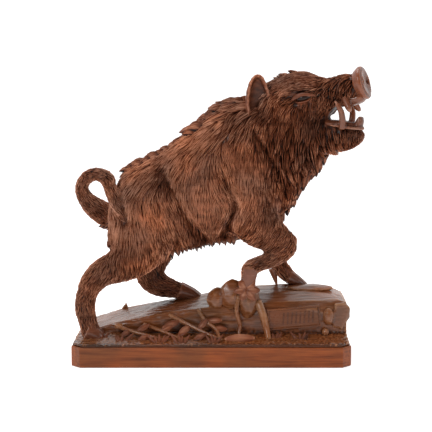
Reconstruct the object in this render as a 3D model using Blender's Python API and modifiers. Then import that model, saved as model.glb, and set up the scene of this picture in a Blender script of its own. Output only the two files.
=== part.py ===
"""A carved wooden boar, striding over a rocky ledge, on a sawn plinth with canted corners.

Two solids: the plinth board, and the block carved into the boar and the rocks under it.
Metres, +Z up, the origin at the centre of the plinth's underside. The boar faces +X, and
its head turns towards -Y, the side from which the work is looked at.
"""

import math
import random

import bmesh
import bpy
from mathutils import Matrix, Vector
from mathutils.bvhtree import BVHTree

# Plinth board
PLINTH_LENGTH = 0.260
PLINTH_DEPTH = 0.120
PLINTH_THICKNESS = 0.019
PLINTH_CANT = 0.0085
PLINTH_ARRIS = 0.0008

# Carved block
FIGURE_HEIGHT = 0.260
GLUE_GAP = 0.0003
GROUND_MARGIN = 0.0015
GROUND_EDGE_HEIGHT = 0.0022

# Sunk panel on the face of the ledge, with a row of strokes
PANEL_LENGTH = 0.050
PANEL_HEIGHT = 0.020
PANEL_BORDER = 0.0022
PANEL_PROUD = 0.0020
PANEL_SINK = 0.0014
PANEL_TURN_DEG = 5.0
PANEL_PLACE = 0.61
PANEL_RISE = 0.56
PANEL_FORWARD = 0.8
PANEL_ROOTED = 3 * PANEL_PROUD
STROKE_WIDTH = 0.0012
STROKE_RELIEF = 0.0009
STROKE_PITCH = 0.0040
STROKE_MARGIN = 0.0022
STROKE_SLANTS_DEG = (0, 14, -10)

# The figure and its rocks are drawn in parts, 260 to the figure's height above the board, so
# that at the real size one part is one millimetre. Heights count from the top of the board.
PART = FIGURE_HEIGHT / 260
GROUND_TOP = PLINTH_THICKNESS + GLUE_GAP

# Fineness of the carving
RING_SIDES = 20
BODY_VOXEL = 1.9 * PART
LOCK_VOXEL = 1.15 * PART
SMOOTH_TURNS = 5
FIGURE_TRIANGLES = 6850
PINCH = 0.000005
PINCH_DRAWN_BACK = 20 * PINCH
LOCK_SPACING = 7.6
LOCK_SEED = 7

# Each row of a limb: x, y, z, half height across the path, half width across the figure.
TORSO = [
    (-99, 0, 102, 12, 9),
    (-95, 0, 108, 26, 18),
    (-87, 0, 113.5, 37, 25),
    (-75, 0, 118, 46, 30),
    (-60, 0, 123, 49.5, 33),
    (-45, 0, 129.5, 50, 35),
    (-30, 0, 136.5, 52.5, 36),
    (-15, 0, 143.5, 56.5, 37),
    (0, 0, 151.5, 60.5, 38),
    (15, 0, 156.5, 64, 39),
    (30, -1, 160.5, 64.5, 38),
    (45, -2, 165.5, 59, 35),
    (60, -3, 172.5, 48, 30),
    (70, -4, 177, 36, 24),
    (77, -4, 179, 22, 15),
]
RUFF = [
    (14, -1, 158, 52, 32),
    (32, -2, 167, 57, 36),
    (48, -4, 176, 56, 36),
    (66, -8, 185, 45, 34),
    (84, -14, 192, 33, 29),
    (99, -21, 199, 21, 21),
    (107, -25, 203, 11, 12),
]
NEAR_HIND_LEG = [
    (-58, -14, 128, 36, 19),
    (-63, -20, 106, 31, 17),
    (-71, -26, 86, 25, 15),
    (-85, -30, 73, 17, 12),
    (-99, -31, 67, 13.5, 10.5),
    (-110, -31, 58, 12, 9.5),
    (-117, -31, 45, 10, 8.5),
    (-119, -31, 32, 10, 8),
    (-117.5, -31, 22, 9.2, 8),
    (-115, -31, 12, 9, 8),
    (-112, -31, 4, 10, 8.5),
    (-111, -31, -2, 8, 7),
]
FAR_HIND_LEG = [
    (-56, 14, 126, 34, 19),
    (-57, 20, 100, 26, 16),
    (-57, 24, 80, 19, 13),
    (-60, 26, 65, 15.5, 10.5),
    (-61, 26, 52, 14, 9.5),
    (-52, 26, 43.5, 12.5, 9),
    (-39, 26, 39, 9.5, 8.5),
    (-25, 26, 35, 7, 8.5),
    (-13, 26, 31.5, 3.5, 6.5),
]
NEAR_FORELEG = [
    (36, -17, 142, 34, 20),
    (40, -22, 120, 25, 18),
    (50, -27, 106, 19.5, 15),
    (60, -29, 98, 15.5, 12),
    (69, -30, 92.5, 12.5, 10.5),
    (66, -30, 85, 10.5, 9.5),
    (55, -28, 77, 8.2, 8),
    (45, -26, 72.5, 7.6, 7.5),
    (37.5, -24, 68, 8.2, 7.5),
    (35.5, -23, 61, 7.2, 7.5),
    (35, -22, 50, 7.2, 7.5),
]
FAR_FORELEG = [
    (48, 14, 130, 26, 19),
    (54, 19, 106, 17, 15),
    (59, 22, 86, 11, 10),
    (64, 24, 70, 8.8, 8.5),
    (71, 25, 58, 8.2, 8),
    (81, 26, 49, 6.2, 8.5),
    (92, 26, 43.5, 2.8, 7),
]
TAIL = [
    (-88, 4, 108, 9, 9),
    (-101, 3, 115.5, 11.5, 10),
    (-112, 1, 123, 10.5, 9),
    (-120.5, -1, 132, 8, 7.6),
    (-124, -4, 142, 6.4, 6.8),
    (-119, -7, 152, 6.4, 6.8),
    (-109, -10, 156, 6.4, 6.8),
    (-99, -14, 152, 7.2, 6.8),
    (-93.5, -19, 141.5, 7.4, 6.6),
    (-88, -24, 130, 7, 6),
    (-80.5, -27.5, 118, 3.8, 3.8),
]

# The head has its own axes: s along the snout, t towards the far side, v up.
HEAD_CENTRE = (75, -12, 222)
HEAD_YAW_DEG = 26.6
HEAD_PITCH_DEG = 15.4
SKULL = [
    (-24, 0, -7, 22, 18),
    (-14, 0, -4, 29, 25),
    (0, 0, -1, 29.5, 27),
    (14, 0, -0.5, 28.5, 25.5),
    (26, 0, -1.5, 24.5, 21),
    (36, 0, -1.5, 18.5, 16.5),
    (45, 0, -1, 14.5, 13.5),
    (56, 0, -0.5, 14, 12.5),
    (65, 0, -1.5, 12.5, 11.5),
    (73, 0, -0.5, 12.5, 12),
]
SNOUT_DISC = [(69, 0, 0.5, 12, 12), (72.5, 0, 0.5, 14.4, 15), (76, 0, 0.5, 14.2, 14.5), (78.5, 0, 0, 9.5, 6)]
SNOUT_DISC_LEAN = 0.23
JAW = [
    (6, 0, -24, 22, 20),
    (20, 0, -33, 17.5, 17),
    (34, 0, -39, 14.5, 14),
    (47, 0, -43, 11.5, 11.5),
    (55, 0, -44, 8.8, 10),
    (61.5, 0, -43, 4.8, 7),
]
TONGUE = [(26, 0, -27, 4, 6), (40, 0, -30, 4, 7), (53, 0, -34, 3.2, 6), (60, 0, -38, 2.5, 4)]
LOWER_TUSK = [(47, 9.5, -36, 2.8, 2.8), (51.5, 13, -27, 2.8, 2.6), (52.5, 16, -18, 2.4, 2.2), (51, 17.8, -8, 1.5, 1.5)]
UPPER_TUSK = [(57, 8, -9, 3.2, 2.8), (58, 11.5, -17, 2.6, 2.3), (60, 15, -21, 1.3, 1.3)]
INCISORS = [(56, 0, -40, 4, 6), (61, 0, -36, 3.4, 5.6), (64, 0, -32, 2, 4.4)]
NOSTRIL_PLACES = [(82, -6.5, 1.5), (82, 6.5, 1.5)]
NOSTRIL_RADIUS = 3.0
NOSTRIL_DEPTH = 7
NOSTRIL_FLOOR = (1.6, 1.4)
EYE = [(18.5, 21, 1.8, 1, 1), (20.5, 22, 1.8, 3.4, 3.4), (25, 20.8, 1.8, 3.4, 3.4), (28, 19.5, 1.8, 1, 1)]
BROW = [(8, 22.5, 6, 2, 2), (17, 22.4, 7.2, 3.2, 3.2), (26, 19.5, 6.4, 3, 3), (33, 15.5, 3.2, 1.8, 1.8)]
LOWER_LID = [(12, 23, -1.5, 1.5, 1.5), (20, 22.3, -3.2, 2, 2), (28, 19.6, -2.4, 2, 2), (34, 15.5, 0.5, 1.2, 1.2)]

# The ear, in the head's axes: a leaf that is folded round its hollow.
EAR = [
    (-27, -17, -18, 5, 5),
    (-25, -22, -9, 10, 6.5),
    (-22, -26, 3, 12, 7),
    (-17, -29, 15, 11, 6),
    (-13, -32, 25, 7.5, 4.5),
    (-10.5, -34, 32, 2.5, 2),
]
EAR_HOLLOW = [(-14, -33, -4, 5, 3.5), (-12, -36, 7, 7, 4), (-9, -39, 18, 4.5, 3)]

# Hooves: the rows of one toe of each foot. The other toe lies beside it.
HOOVES = (
    [(-118, -31, 8, 8, 4), (-107, -31, 4, 7, 4.2), (-101, -31, 0, 3, 3)],
    [(-32, 26, 38, 8, 4), (-20, 26, 34, 6, 4.2), (-10, 26, 30, 2, 2.6)],
    [(37, -24, 70, 7, 4), (36, -23, 60, 6.6, 4.2), (33, -22, 50, 5, 3.5)],
    [(76, 26, 52, 7, 4), (86, 26, 46, 5, 4.2), (95, 26, 42, 2, 2.6)],
)
TOE_OFFSET = 4.2
DEW_CLAW = [(60, 25, 60, 4.2, 4.2), (62.5, 25, 52, 3, 3), (65, 25, 41, 1.6, 1.6)]

# How the coat lies, from the side: x, z, then the way the tips point (x, z), the length of a
# lock and how far its tip stands away from the skin.
COAT = [
    (40, 233, -0.95, -0.25, 16, 0.22),
    (12, 227, -0.93, -0.36, 19, 0.26),
    (-20, 207, -0.88, -0.48, 19, 0.24),
    (-50, 184, -0.88, -0.45, 16, 0.12),
    (-75, 171, -0.92, -0.38, 17, 0.18),
    (-90, 152, -0.70, -0.70, 13, 0.12),
    (25, 206, -0.45, -0.88, 16, 0.18),
    (-5, 193, -0.65, -0.75, 16, 0.15),
    (-35, 171, -0.50, -0.86, 15, 0.12),
    (-65, 153, -0.50, -0.86, 15, 0.12),
    (-85, 139, -0.25, -0.96, 14, 0.12),
    (45, 196, -0.20, -0.97, 15, 0.15),
    (30, 171, 0.00, -1.00, 15, 0.12),
    (45, 151, 0.08, -1.00, 15, 0.12),
    (12, 171, 0.30, -0.95, 15, 0.15),
    (10, 146, 0.42, -0.90, 15, 0.15),
    (30, 131, -0.35, -0.93, 15, 0.15),
    (22, 111, -0.55, -0.83, 15, 0.20),
    (50, 121, -0.25, -0.97, 14, 0.12),
    (35, 101, -0.70, -0.70, 14, 0.25),
    (62, 106, -0.50, -0.85, 10, 0.08),
    (-15, 161, -0.15, -0.99, 15, 0.12),
    (-15, 131, 0.05, -1.00, 15, 0.12),
    (-20, 101, 0.25, -0.97, 14, 0.30),
    (10, 99, 0.05, -1.00, 14, 0.30),
    (-45, 131, 0.35, -0.94, 15, 0.15),
    (-35, 96, 0.40, -0.92, 14, 0.25),
    (-65, 126, 0.20, -0.98, 15, 0.12),
    (-85, 111, 0.05, -1.00, 15, 0.12),
    (-70, 91, 0.08, -1.00, 15, 0.15),
    (-92, 91, -0.10, -1.00, 14, 0.20),
    (-60, 73, 0.05, -1.00, 13, 0.20),
    (-105, 66, -0.55, -0.80, 11, 0.12),
    (-119, 38, -0.30, -0.95, 11, 0.25),
    (-115, 14, -0.10, -1.00, 8, 0.10),
    (-60, 49, 0.20, -0.97, 9, 0.15),
    (-38, 39, 0.50, -0.86, 8, 0.10),
    (60, 181, 0.05, -1.00, 17, 0.20),
    (75, 161, 0.25, -0.96, 18, 0.35),
    (95, 176, 0.22, -0.97, 18, 0.35),
    (110, 186, 0.18, -0.98, 15, 0.32),
    (122, 190, 0.05, -1.00, 9, 0.12),
    (134, 200, 0.05, -1.00, 3, 0.05),
    (72, 134, 0.20, -0.97, 15, 0.30),
    (60, 216, -0.30, -0.95, 14, 0.15),
    (75, 238, -0.95, -0.20, 9, 0.15),
    (90, 245, -0.98, 0.05, 8, 0.12),
    (85, 211, -0.15, -0.98, 12, 0.12),
    (100, 221, -0.15, -0.98, 8, 0.08),
    (122, 240, -0.30, -0.95, 6, 0.08),
    (70, 86, -0.75, -0.65, 7, 0.05),
    (45, 73, -0.90, -0.40, 7, 0.08),
    (70, 61, 0.40, -0.90, 7, 0.08),
]
BARE_LIMBS = ((TAIL, 1), (NEAR_FORELEG, 6), (FAR_FORELEG, 5), (NEAR_HIND_LEG, 9), (FAR_HIND_LEG, 7))
COAT_BLEND = 20.0
BARE_CLEARANCE = 2.5
SHORTEST_LOCK = 8.6
LOCK_VARIATION = (0.85, 1.15)

# A lock: its width and thickness as shares of its length, then its shape, as rings of four
# points. Each ring has its place along the lock, its breadth and how far it is raised.
LOCK_WIDTH = 0.36
LOCK_THICKNESS = 0.17
LOCK_SHAPE = ((0.0, 0.55, -0.9), (0.3, 1.0, 0.15), (0.65, 0.8, 0.35), (1.0, 0.12, 0.3))
LOCK_UNDERSIDE = 0.9
LOCK_RIDGE_BREADTH = 0.35
LOCK_RIDGE_HEIGHT = 0.55
OUTWARD_FLOW_KEPT = 0.4
WEAKEST_FLOW = 0.2

# Rows of long bristles that stand at the outline: start, end (x, z), how many, the way they
# point (x, z) and their length.
BRISTLE_ROWS = [
    ((38, 231), (-26, 203), 9, (-0.97, -0.08), 15),
    ((-70, 176), (-84, 162), 3, (-0.97, -0.08), 12),
    ((-42, 82), (24, 94), 11, (0.22, -0.97), 12),
    ((66, 128), (112, 180), 10, (0.24, -0.97), 12),
    ((118, 183), (130, 192), 3, (0.05, -0.99), 7),
    ((-99, 92), (-93, 82), 3, (-0.35, -0.93), 8),
    ((-86, 66), (-48, 78), 6, (0.12, -0.99), 10),
    ((-123, 48), (-126, 26), 3, (-0.62, -0.78), 9),
    ((26, 100), (44, 84), 4, (-0.55, -0.83), 9),
    ((84, 250), (62, 243), 4, (-0.90, 0.42), 8),
]
BRISTLE_SIDES = (-9, 0, 9)
BRISTLE_SCATTER = 3
BRISTLE_REACH = 16
BRISTLE_SWAY = 0.12
BRISTLE_VARIATION = (0.8, 1.2)
BRISTLE_ROOTED = 0.3
BRISTLE_WIDTH = 0.42
BRISTLE_THICKNESS = 0.2

# The ledge: one row for each cross-section along the block. x as a share of half the
# length; crest, rear rim and top heights; how far the foot of the face stands forward.
LEDGE = [
    (-1.00, 0.6, 1.5, 0.5),
    (-0.90, 6.0, 9.0, 2.0),
    (-0.70, 12.5, 17.5, 3.0),
    (-0.45, 19.0, 22.5, 3.0),
    (-0.16, 25.5, 29.0, 4.0),
    (0.06, 29.0, 34.0, 5.0),
    (0.34, 32.0, 40.0, 6.0),
    (0.56, 33.0, 42.5, 7.0),
    (0.80, 34.5, 42.0, 7.0),
    (0.93, 35.5, 38.0, 6.0),
    (1.00, 33.0, 35.0, 5.0),
]
CREST_DEPTH = -21
RIM_DEPTH = 27
BACK_FOOT_DEPTH = 46
FOOT_HEIGHT = 3.6
# The bevel along the face's top: how much of the foot's reach it has, and of the crest's height
BEVEL_REACH = 0.35
BEVEL_HEIGHT = 0.8
# How far the top has risen from the crest to the rim halfway, and how high the back's foot is
TOP_RISE = 0.55
BACK_FOOT_RISE = 0.35
CHISEL_SEED = 3
CHISEL_STEP = 1.3
CHISEL_RISE = 0.6
LOW_GROUND = 8

# Stones: centre (x, y, z) and half sizes. The stump under the near forefoot comes first.
STONES = [
    ((35, -21, 36), (11, 12, 18)),
    ((20, -18, 41), (13, 10, 15)),
    ((6, -15, 36), (11, 9, 12)),
    ((111, -28, 22), (5.5, 4.5, 9)),
    ((108, -31, 8), (4, 4, 4.5)),
    ((96, 14, 42), (24, 12, 4)),
    ((-88, -28, 13), (5, 3.5, 4.5)),
]
STONE_UNEVENNESS = (0.9, 1.08)
LARGE_STONE = 8
# Blocks with flat faces, as their corners
END_BLOCK = [
    (117, -27, 34), (126, -26, 35), (132, -24, 30), (132, -22, 20), (124, -27, 10), (115, -28, 12),
    (117, 12, 36), (127, 12, 35), (132, 9, 28), (129, 9, 10), (117, 12, 8),
]
RIM_CHIP = [(-95, 22, 12), (-81, 22, 16), (-85, 25, 27), (-90, 30, 12), (-82, 29, 14)]
# Stems and roots: points of each (x, y, z), with its radius at both ends
STEMS = [
    ([(44, -24, 36), (49, -31, 24), (52, -35, 12), (54, -41, 3)], 4.2, 2.6),
    ([(26, -26, 42), (24, -31, 28), (27, -34, 14), (25, -40, 4)], 3.6, 2.2),
    ([(-40, -20, 22), (-24, -30, 16), (-6, -39, 9), (10, -47, 4)], 2.2, 1.5),
    ([(-12, -20, 27), (-6, -30, 19), (4, -36, 12), (8, -43, 4)], 2.2, 1.5),
    ([(-86, -29, 12), (-72, -36, 9), (-56, -41, 6), (-42, -47, 3)], 1.9, 1.4),
    ([(-64, -26, 14), (-50, -34, 11), (-34, -42, 6), (-22, -50, 3)], 1.9, 1.4),
]
# Leaves: root (x, y, z), tip, and width
LEAVES = [
    ((33, -30, 49), (21, -31, 47), 8), ((33, -30, 49), (26, -30, 57), 8), ((33, -30, 49), (41, -29, 56), 8),
    ((33, -30, 49), (46, -31, 48), 8), ((33, -30, 49), (28, -34, 39), 8), ((33, -30, 49), (41, -34, 39), 8),
    ((12, -47, 5), (41, -45, 5.5), 9), ((-30, -28, 18), (-46, -35, 13), 7), ((-20, -33, 15), (-31, -43, 7), 7),
    ((-12, -37, 12), (-4, -33, 21), 6), ((-4, -41, 9), (-16, -49, 5), 6), ((-4, -31, 19), (10, -34, 20), 6),
    ((2, -36, 13), (15, -37, 12), 6), ((-70, -36, 10), (-58, -33, 16), 6), ((-58, -41, 7), (-68, -47, 4), 6),
    ((-48, -36, 10), (-36, -34, 15), 6), ((-76, -33, 11), (-84, -41, 6), 6),
]
LEAF_SCATTER = 0.8
LEAF_BROADEST = 0.4
LEAF_RIB = 0.3
LEAF_ROOTED = 0.4
OUT_OF_FACE = Vector((0, -1, 0.6)).normalized()
# Tufts of grass on the low ground: where each stands (x, y), and how many blades it has
TUFTS = [(-104, -42, 4), (-84, -50, 4), (-48, -52, 5), (-28, -54, 4), (2, -54, 4), (60, -42, 4), (84, -44, 4)]
BLADE_LENGTH = 11
BLADE_WIDTH = 3
BLADE_VARIATION = (0.8, 1.2)
BLADE_SPREAD = 0.5
BLADE_STRAY = 0.15
BLADE_FOOT_SPREAD = 2
BLADE_FOOT_HEIGHT = 1
BLADE_REACH = 0.6
BLADE_RISE = 0.45
BLADE_TIP_HEIGHT = 4

WOOD = {
    "stained_walnut": ((0.115, 0.048, 0.026, 1.0), 0.42),
    "oiled_walnut": ((0.270, 0.095, 0.038, 1.0), 0.38),
}


def clear_scene():
    for old in list(bpy.data.objects):
        bpy.data.objects.remove(old, do_unlink=True)


def collection(name):
    made = bpy.data.collections.new(name)
    bpy.context.scene.collection.children.link(made)
    return made


def wood(name):
    colour, roughness = WOOD[name]
    material = bpy.data.materials.new(name)
    material.use_nodes = True
    shader = material.node_tree.nodes["Principled BSDF"]
    shader.inputs["Base Color"].default_value = colour
    shader.inputs["Roughness"].default_value = roughness
    shader.inputs["Metallic"].default_value = 0.0
    return material


def object_from(bm, name, place):
    bmesh.ops.recalc_face_normals(bm, faces=bm.faces)
    mesh = bpy.data.meshes.new(name)
    bm.to_mesh(mesh)
    bm.free()
    made = bpy.data.objects.new(name, mesh)
    place.objects.link(made)
    return made


def evaluated_copy(source, name, place):
    """The mesh that the modifiers of source make, as a new object. The source is removed."""
    bpy.context.view_layer.update()
    graph = bpy.context.evaluated_depsgraph_get()
    mesh = bpy.data.meshes.new_from_object(source.evaluated_get(graph))
    bpy.data.objects.remove(source, do_unlink=True)
    mesh.name = name
    made = bpy.data.objects.new(name, mesh)
    place.objects.link(made)
    return made


def figure_point(x, y, z):
    """A point of the figure, drawn in parts, in metres."""
    return Vector((x * PART, y * PART, GROUND_TOP + z * PART))


def head_axes():
    yaw = math.radians(HEAD_YAW_DEG)
    pitch = math.radians(HEAD_PITCH_DEG)
    forward = Vector((math.cos(pitch) * math.cos(yaw), -math.cos(pitch) * math.sin(yaw), math.sin(pitch)))
    across = Vector((0, 0, 1)).cross(forward).normalized()
    return forward, across, forward.cross(across)


def head_rows(rows, side=1, lean=0.0):
    """Rows in the head's own axes as rows of the figure. A side of -1 is the near side."""
    forward, across, up = head_axes()
    found = []
    for s, t, v, half_height, half_width in rows:
        place = Vector(HEAD_CENTRE) + forward * (s + lean * v) + across * (t * side) + up * v
        found.append((*place, half_height, half_width))
    return found


def ring_frames(points, across, upright):
    """The side and the up direction of the ring at each point of a path."""
    frames = []
    for i in range(len(points)):
        before = points[max(i - 1, 0)]
        after = points[min(i + 1, len(points) - 1)]
        tangent = (after - before).normalized()
        side = (across - tangent * across.dot(tangent)).normalized()
        frames.append((side, Vector((0, 0, 1)) if upright else side.cross(tangent)))
    return frames


def add_loft(bm, rows, across=Vector((0, 1, 0)), sides=RING_SIDES, upright=False):
    """A closed tube with oval rings, one for each row, added to bm."""
    points = [figure_point(x, y, z) for x, y, z, _, _ in rows]
    rings = []
    frames = ring_frames(points, across, upright)
    for (_, _, _, half_height, half_width), centre, (side, up) in zip(rows, points, frames):
        ring = []
        for k in range(sides):
            turn = 2 * math.pi * k / sides
            offset = side * (math.cos(turn) * half_width) + up * (math.sin(turn) * half_height)
            ring.append(bm.verts.new(centre + offset * PART))
        rings.append(ring)
    for low, high in zip(rings, rings[1:]):
        for k in range(sides):
            bm.faces.new((low[k], low[(k + 1) % sides], high[(k + 1) % sides], high[k]))
    bm.faces.new(reversed(rings[0]))
    bm.faces.new(rings[-1])


def smooth_rows(rows, steps=3):
    """More rows between the given ones, on a smooth curve through them."""
    found = []
    for i in range(len(rows) - 1):
        ends = [rows[max(i - 1, 0)], rows[i], rows[i + 1], rows[min(i + 2, len(rows) - 1)]]
        for step in range(steps):
            f = step / steps
            weights = (
                (-f + 2 * f**2 - f**3) / 2,
                (2 - 5 * f**2 + 3 * f**3) / 2,
                (f + 4 * f**2 - 3 * f**3) / 2,
                (f**3 - f**2) / 2,
            )
            found.append(tuple(sum(w * row[k] for w, row in zip(weights, ends)) for k in range(5)))
    found.append(rows[-1])
    return found


def figure_body(place):
    """The boar without its coat: every mass overlaps the next, and one skin closes over all."""
    _, across, _ = head_axes()
    bm = bmesh.new()
    add_loft(bm, smooth_rows(TORSO), upright=True)
    for rows in (RUFF, NEAR_HIND_LEG, FAR_HIND_LEG, NEAR_FORELEG, FAR_FORELEG, TAIL):
        add_loft(bm, smooth_rows(rows))
    for rows in (SKULL, JAW):
        add_loft(bm, smooth_rows(head_rows(rows)), across)
    body = object_from(bm, "body", place)
    skin = body.modifiers.new("one skin", "REMESH")
    skin.mode = "VOXEL"
    skin.voxel_size = BODY_VOXEL
    ease = body.modifiers.new("eased hollows", "SMOOTH")
    ease.factor = 0.5
    ease.iterations = SMOOTH_TURNS
    return evaluated_copy(body, "body", place)


def face_details(place):
    """The snout's disc, tongue, teeth, tusks and ears, which stay crisp on the eased body."""
    _, across, _ = head_axes()
    bm = bmesh.new()
    add_loft(bm, head_rows(SNOUT_DISC, lean=SNOUT_DISC_LEAN), across)
    add_loft(bm, smooth_rows(head_rows(TONGUE)), across, sides=10)
    add_loft(bm, smooth_rows(head_rows(INCISORS)), across, sides=10)
    for side in (-1, 1):
        add_loft(bm, smooth_rows(head_rows(LOWER_TUSK, side)), across, sides=8)
        add_loft(bm, smooth_rows(head_rows(UPPER_TUSK, side)), across, sides=8)
        add_loft(bm, smooth_rows(head_rows(EAR, -side)), Vector((0, 1, 0)), sides=14)
        for rows in (EYE, BROW, LOWER_LID):
            add_loft(bm, smooth_rows(head_rows(rows, side)), across, sides=10)
    return object_from(bm, "face", place)


def coat_at(point):
    """The way the coat lies at a point of the figure, and the length and lift of a lock."""
    x, z = point.x / PART, (point.z - GROUND_TOP) / PART
    total = flow_x = flow_z = length = lift = 0.0
    for gx, gz, dx, dz, row_length, row_lift in COAT:
        weight = 1.0 / ((x - gx) ** 2 + (z - gz) ** 2 + COAT_BLEND) ** 2
        total += weight
        flow_x += weight * dx
        flow_z += weight * dz
        length += weight * row_length
        lift += weight * row_lift
    return Vector((flow_x, 0, flow_z)).normalized(), length / total, lift / total


def is_bare(point):
    """Whether a point lies on the tail or a lower leg, which have no locks."""
    for rows, first in BARE_LIMBS:
        for x, y, z, half_height, half_width in smooth_rows(rows)[3 * first :]:
            if (point - figure_point(x, y, z)).length < (max(half_height, half_width) + BARE_CLEARANCE) * PART:
                return True
    return False


def add_lock(bm, root, way, normal, length, width, thickness):
    """One lock of hair: a pointed leaf with a ridge, its root sunk in the wood."""
    side = way.cross(normal).normalized()
    rings = []
    for along, broad, raised in LOCK_SHAPE:
        centre = root + way * (length * along) + normal * (thickness * raised)
        half = side * (width * broad / 2)
        down = normal * (thickness * LOCK_UNDERSIDE * broad)
        up = normal * (thickness * LOCK_RIDGE_HEIGHT * broad)
        ridge = half * LOCK_RIDGE_BREADTH
        corners = (centre - half - down, centre + half - down, centre + ridge + up, centre - ridge + up)
        rings.append([bm.verts.new(corner) for corner in corners])
    for low, high in zip(rings, rings[1:]):
        for k in range(4):
            bm.faces.new((low[k], low[(k + 1) % 4], high[(k + 1) % 4], high[k]))
    bm.faces.new(reversed(rings[0]))
    bm.faces.new(rings[-1])


def spread_points(body, spacing, chance):
    """Points over the skin, none nearer to another than the spacing."""
    faces = list(body.data.polygons)
    chance.shuffle(faces)
    cells = {}
    found = []
    for face in faces:
        point = face.center
        key = tuple(int(c // spacing) for c in point)
        near = (
            other
            for dx in (-1, 0, 1)
            for dy in (-1, 0, 1)
            for dz in (-1, 0, 1)
            for other in cells.get((key[0] + dx, key[1] + dy, key[2] + dz), ())
        )
        if any((other - point).length < spacing for other in near):
            continue
        cells.setdefault(key, []).append(point.copy())
        found.append((point.copy(), face.normal.copy()))
    return found


def lock_way(flow, normal, lift):
    """The coat's way laid along the skin, with the tip lifted from it."""
    outward = flow.dot(normal)
    laid = flow - normal * (outward if outward < 0 else outward * (1 - OUTWARD_FLOW_KEPT))
    if laid.length < WEAKEST_FLOW:
        laid += normal.cross(Vector((0, 1, 0))) / 2
    return (laid.normalized() + normal * lift).normalized()


def add_coat(body, place):
    """Locks over the whole coat, longest on the ruff and the crest."""
    chance = random.Random(LOCK_SEED)
    bm = bmesh.new()
    for point, normal in spread_points(body, LOCK_SPACING * PART, chance):
        flow, length, lift = coat_at(point)
        if length < SHORTEST_LOCK or is_bare(point):
            continue
        size = length * chance.uniform(*LOCK_VARIATION) * PART
        way = lock_way(flow, normal, lift)
        add_lock(bm, point, way, normal, size, size * LOCK_WIDTH, size * LOCK_THICKNESS)
    return object_from(bm, "coat", place)


def add_bristles(body, place):
    """The long bristles at the outline, rooted where each row meets the skin."""
    chance = random.Random(LOCK_SEED)
    skin = BVHTree.FromPolygons(
        [v.co.copy() for v in body.data.vertices], [tuple(p.vertices) for p in body.data.polygons]
    )
    bm = bmesh.new()
    for (x0, z0), (x1, z1), count, (dx, dz), length in BRISTLE_ROWS:
        for i in range(count):
            f = (i + 0.5) / count
            for y in BRISTLE_SIDES:
                side = y + chance.uniform(-BRISTLE_SCATTER, BRISTLE_SCATTER)
                aim = figure_point(x0 + (x1 - x0) * f, side, z0 + (z1 - z0) * f)
                root, normal, _, gap = skin.find_nearest(aim)
                if gap > BRISTLE_REACH * PART:
                    continue
                way = Vector((dx, chance.uniform(-BRISTLE_SWAY, BRISTLE_SWAY), dz)).normalized()
                size = length * chance.uniform(*BRISTLE_VARIATION) * PART
                outward = (normal - way * normal.dot(way)).normalized()
                sunk = root - way * size * BRISTLE_ROOTED
                add_lock(bm, sunk, way, outward, size, size * BRISTLE_WIDTH, size * BRISTLE_THICKNESS)
    return object_from(bm, "bristles", place)


def hooves(place):
    """Cloven hooves: two toes for each foot, and the far forefoot's dew claw."""
    bm = bmesh.new()
    for toe in (-TOE_OFFSET, TOE_OFFSET):
        for rows in HOOVES:
            add_loft(bm, [(x, y + toe, z, half_height, half_width) for x, y, z, half_height, half_width in rows])
    add_loft(bm, DEW_CLAW)
    return object_from(bm, "hooves", place)


def join(objects, name, place):
    bm = bmesh.new()
    for part in objects:
        bm.from_mesh(part.data)
        bpy.data.objects.remove(part, do_unlink=True)
    return object_from(bm, name, place)


def carved_figure(place):
    """The boar with its coat, as one closed skin of few faces."""
    body = figure_body(place)
    pieces = [add_coat(body, place), add_bristles(body, place), face_details(place), hooves(place), body]
    figure = join(pieces, "figure", place)
    skin = figure.modifiers.new("one skin", "REMESH")
    skin.mode = "VOXEL"
    skin.voxel_size = LOCK_VOXEL
    figure = evaluated_copy(figure, "figure", place)
    few = figure.modifiers.new("few faces", "DECIMATE")
    few.ratio = FIGURE_TRIANGLES / (2 * len(figure.data.polygons))
    return evaluated_copy(figure, "figure", place)


def head_hollows(place):
    """Cutters for the nostrils and for the ears' hollows."""
    forward, across, _ = head_axes()
    cutters = []
    for s, t, v in NOSTRIL_PLACES:
        rows = [(s - NOSTRIL_DEPTH, t, v, *NOSTRIL_FLOOR), (s, t, v, NOSTRIL_RADIUS, NOSTRIL_RADIUS)]
        bm = bmesh.new()
        add_loft(bm, head_rows(rows), across, sides=10)
        cutters.append(object_from(bm, "nostril_cutter", place))
    for side in (-1, 1):
        bm = bmesh.new()
        add_loft(bm, smooth_rows(head_rows(EAR_HOLLOW, -side), steps=2), forward, sides=10)
        cutters.append(object_from(bm, "ear_cutter", place))
    return cutters


def cut_off(bm, point, outward):
    """Cuts off what lies beyond a plane, and closes the cut."""
    geometry = bm.verts[:] + bm.edges[:] + bm.faces[:]
    cut = bmesh.ops.bisect_plane(bm, geom=geometry, dist=1e-7, plane_co=point, plane_no=outward, clear_outer=True)
    edges = [e for e in cut["geom_cut"] if isinstance(e, bmesh.types.BMEdge)]
    bmesh.ops.holes_fill(bm, edges=edges, sides=0)


def canted_board(length, depth, low, high, cant):
    """A board with its upright corners canted."""
    bm = bmesh.new()
    bmesh.ops.create_cube(bm, size=1.0)
    bmesh.ops.scale(bm, vec=(length, depth, high - low), verts=bm.verts)
    bmesh.ops.translate(bm, vec=(0, 0, (low + high) / 2), verts=bm.verts)
    upright = [e for e in bm.edges if abs(e.verts[0].co.z - e.verts[1].co.z) > (high - low) / 2]
    bmesh.ops.bevel(bm, geom=upright, offset=cant, affect="EDGES", segments=1, profile=0.5, material=-1)
    return bm


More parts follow.
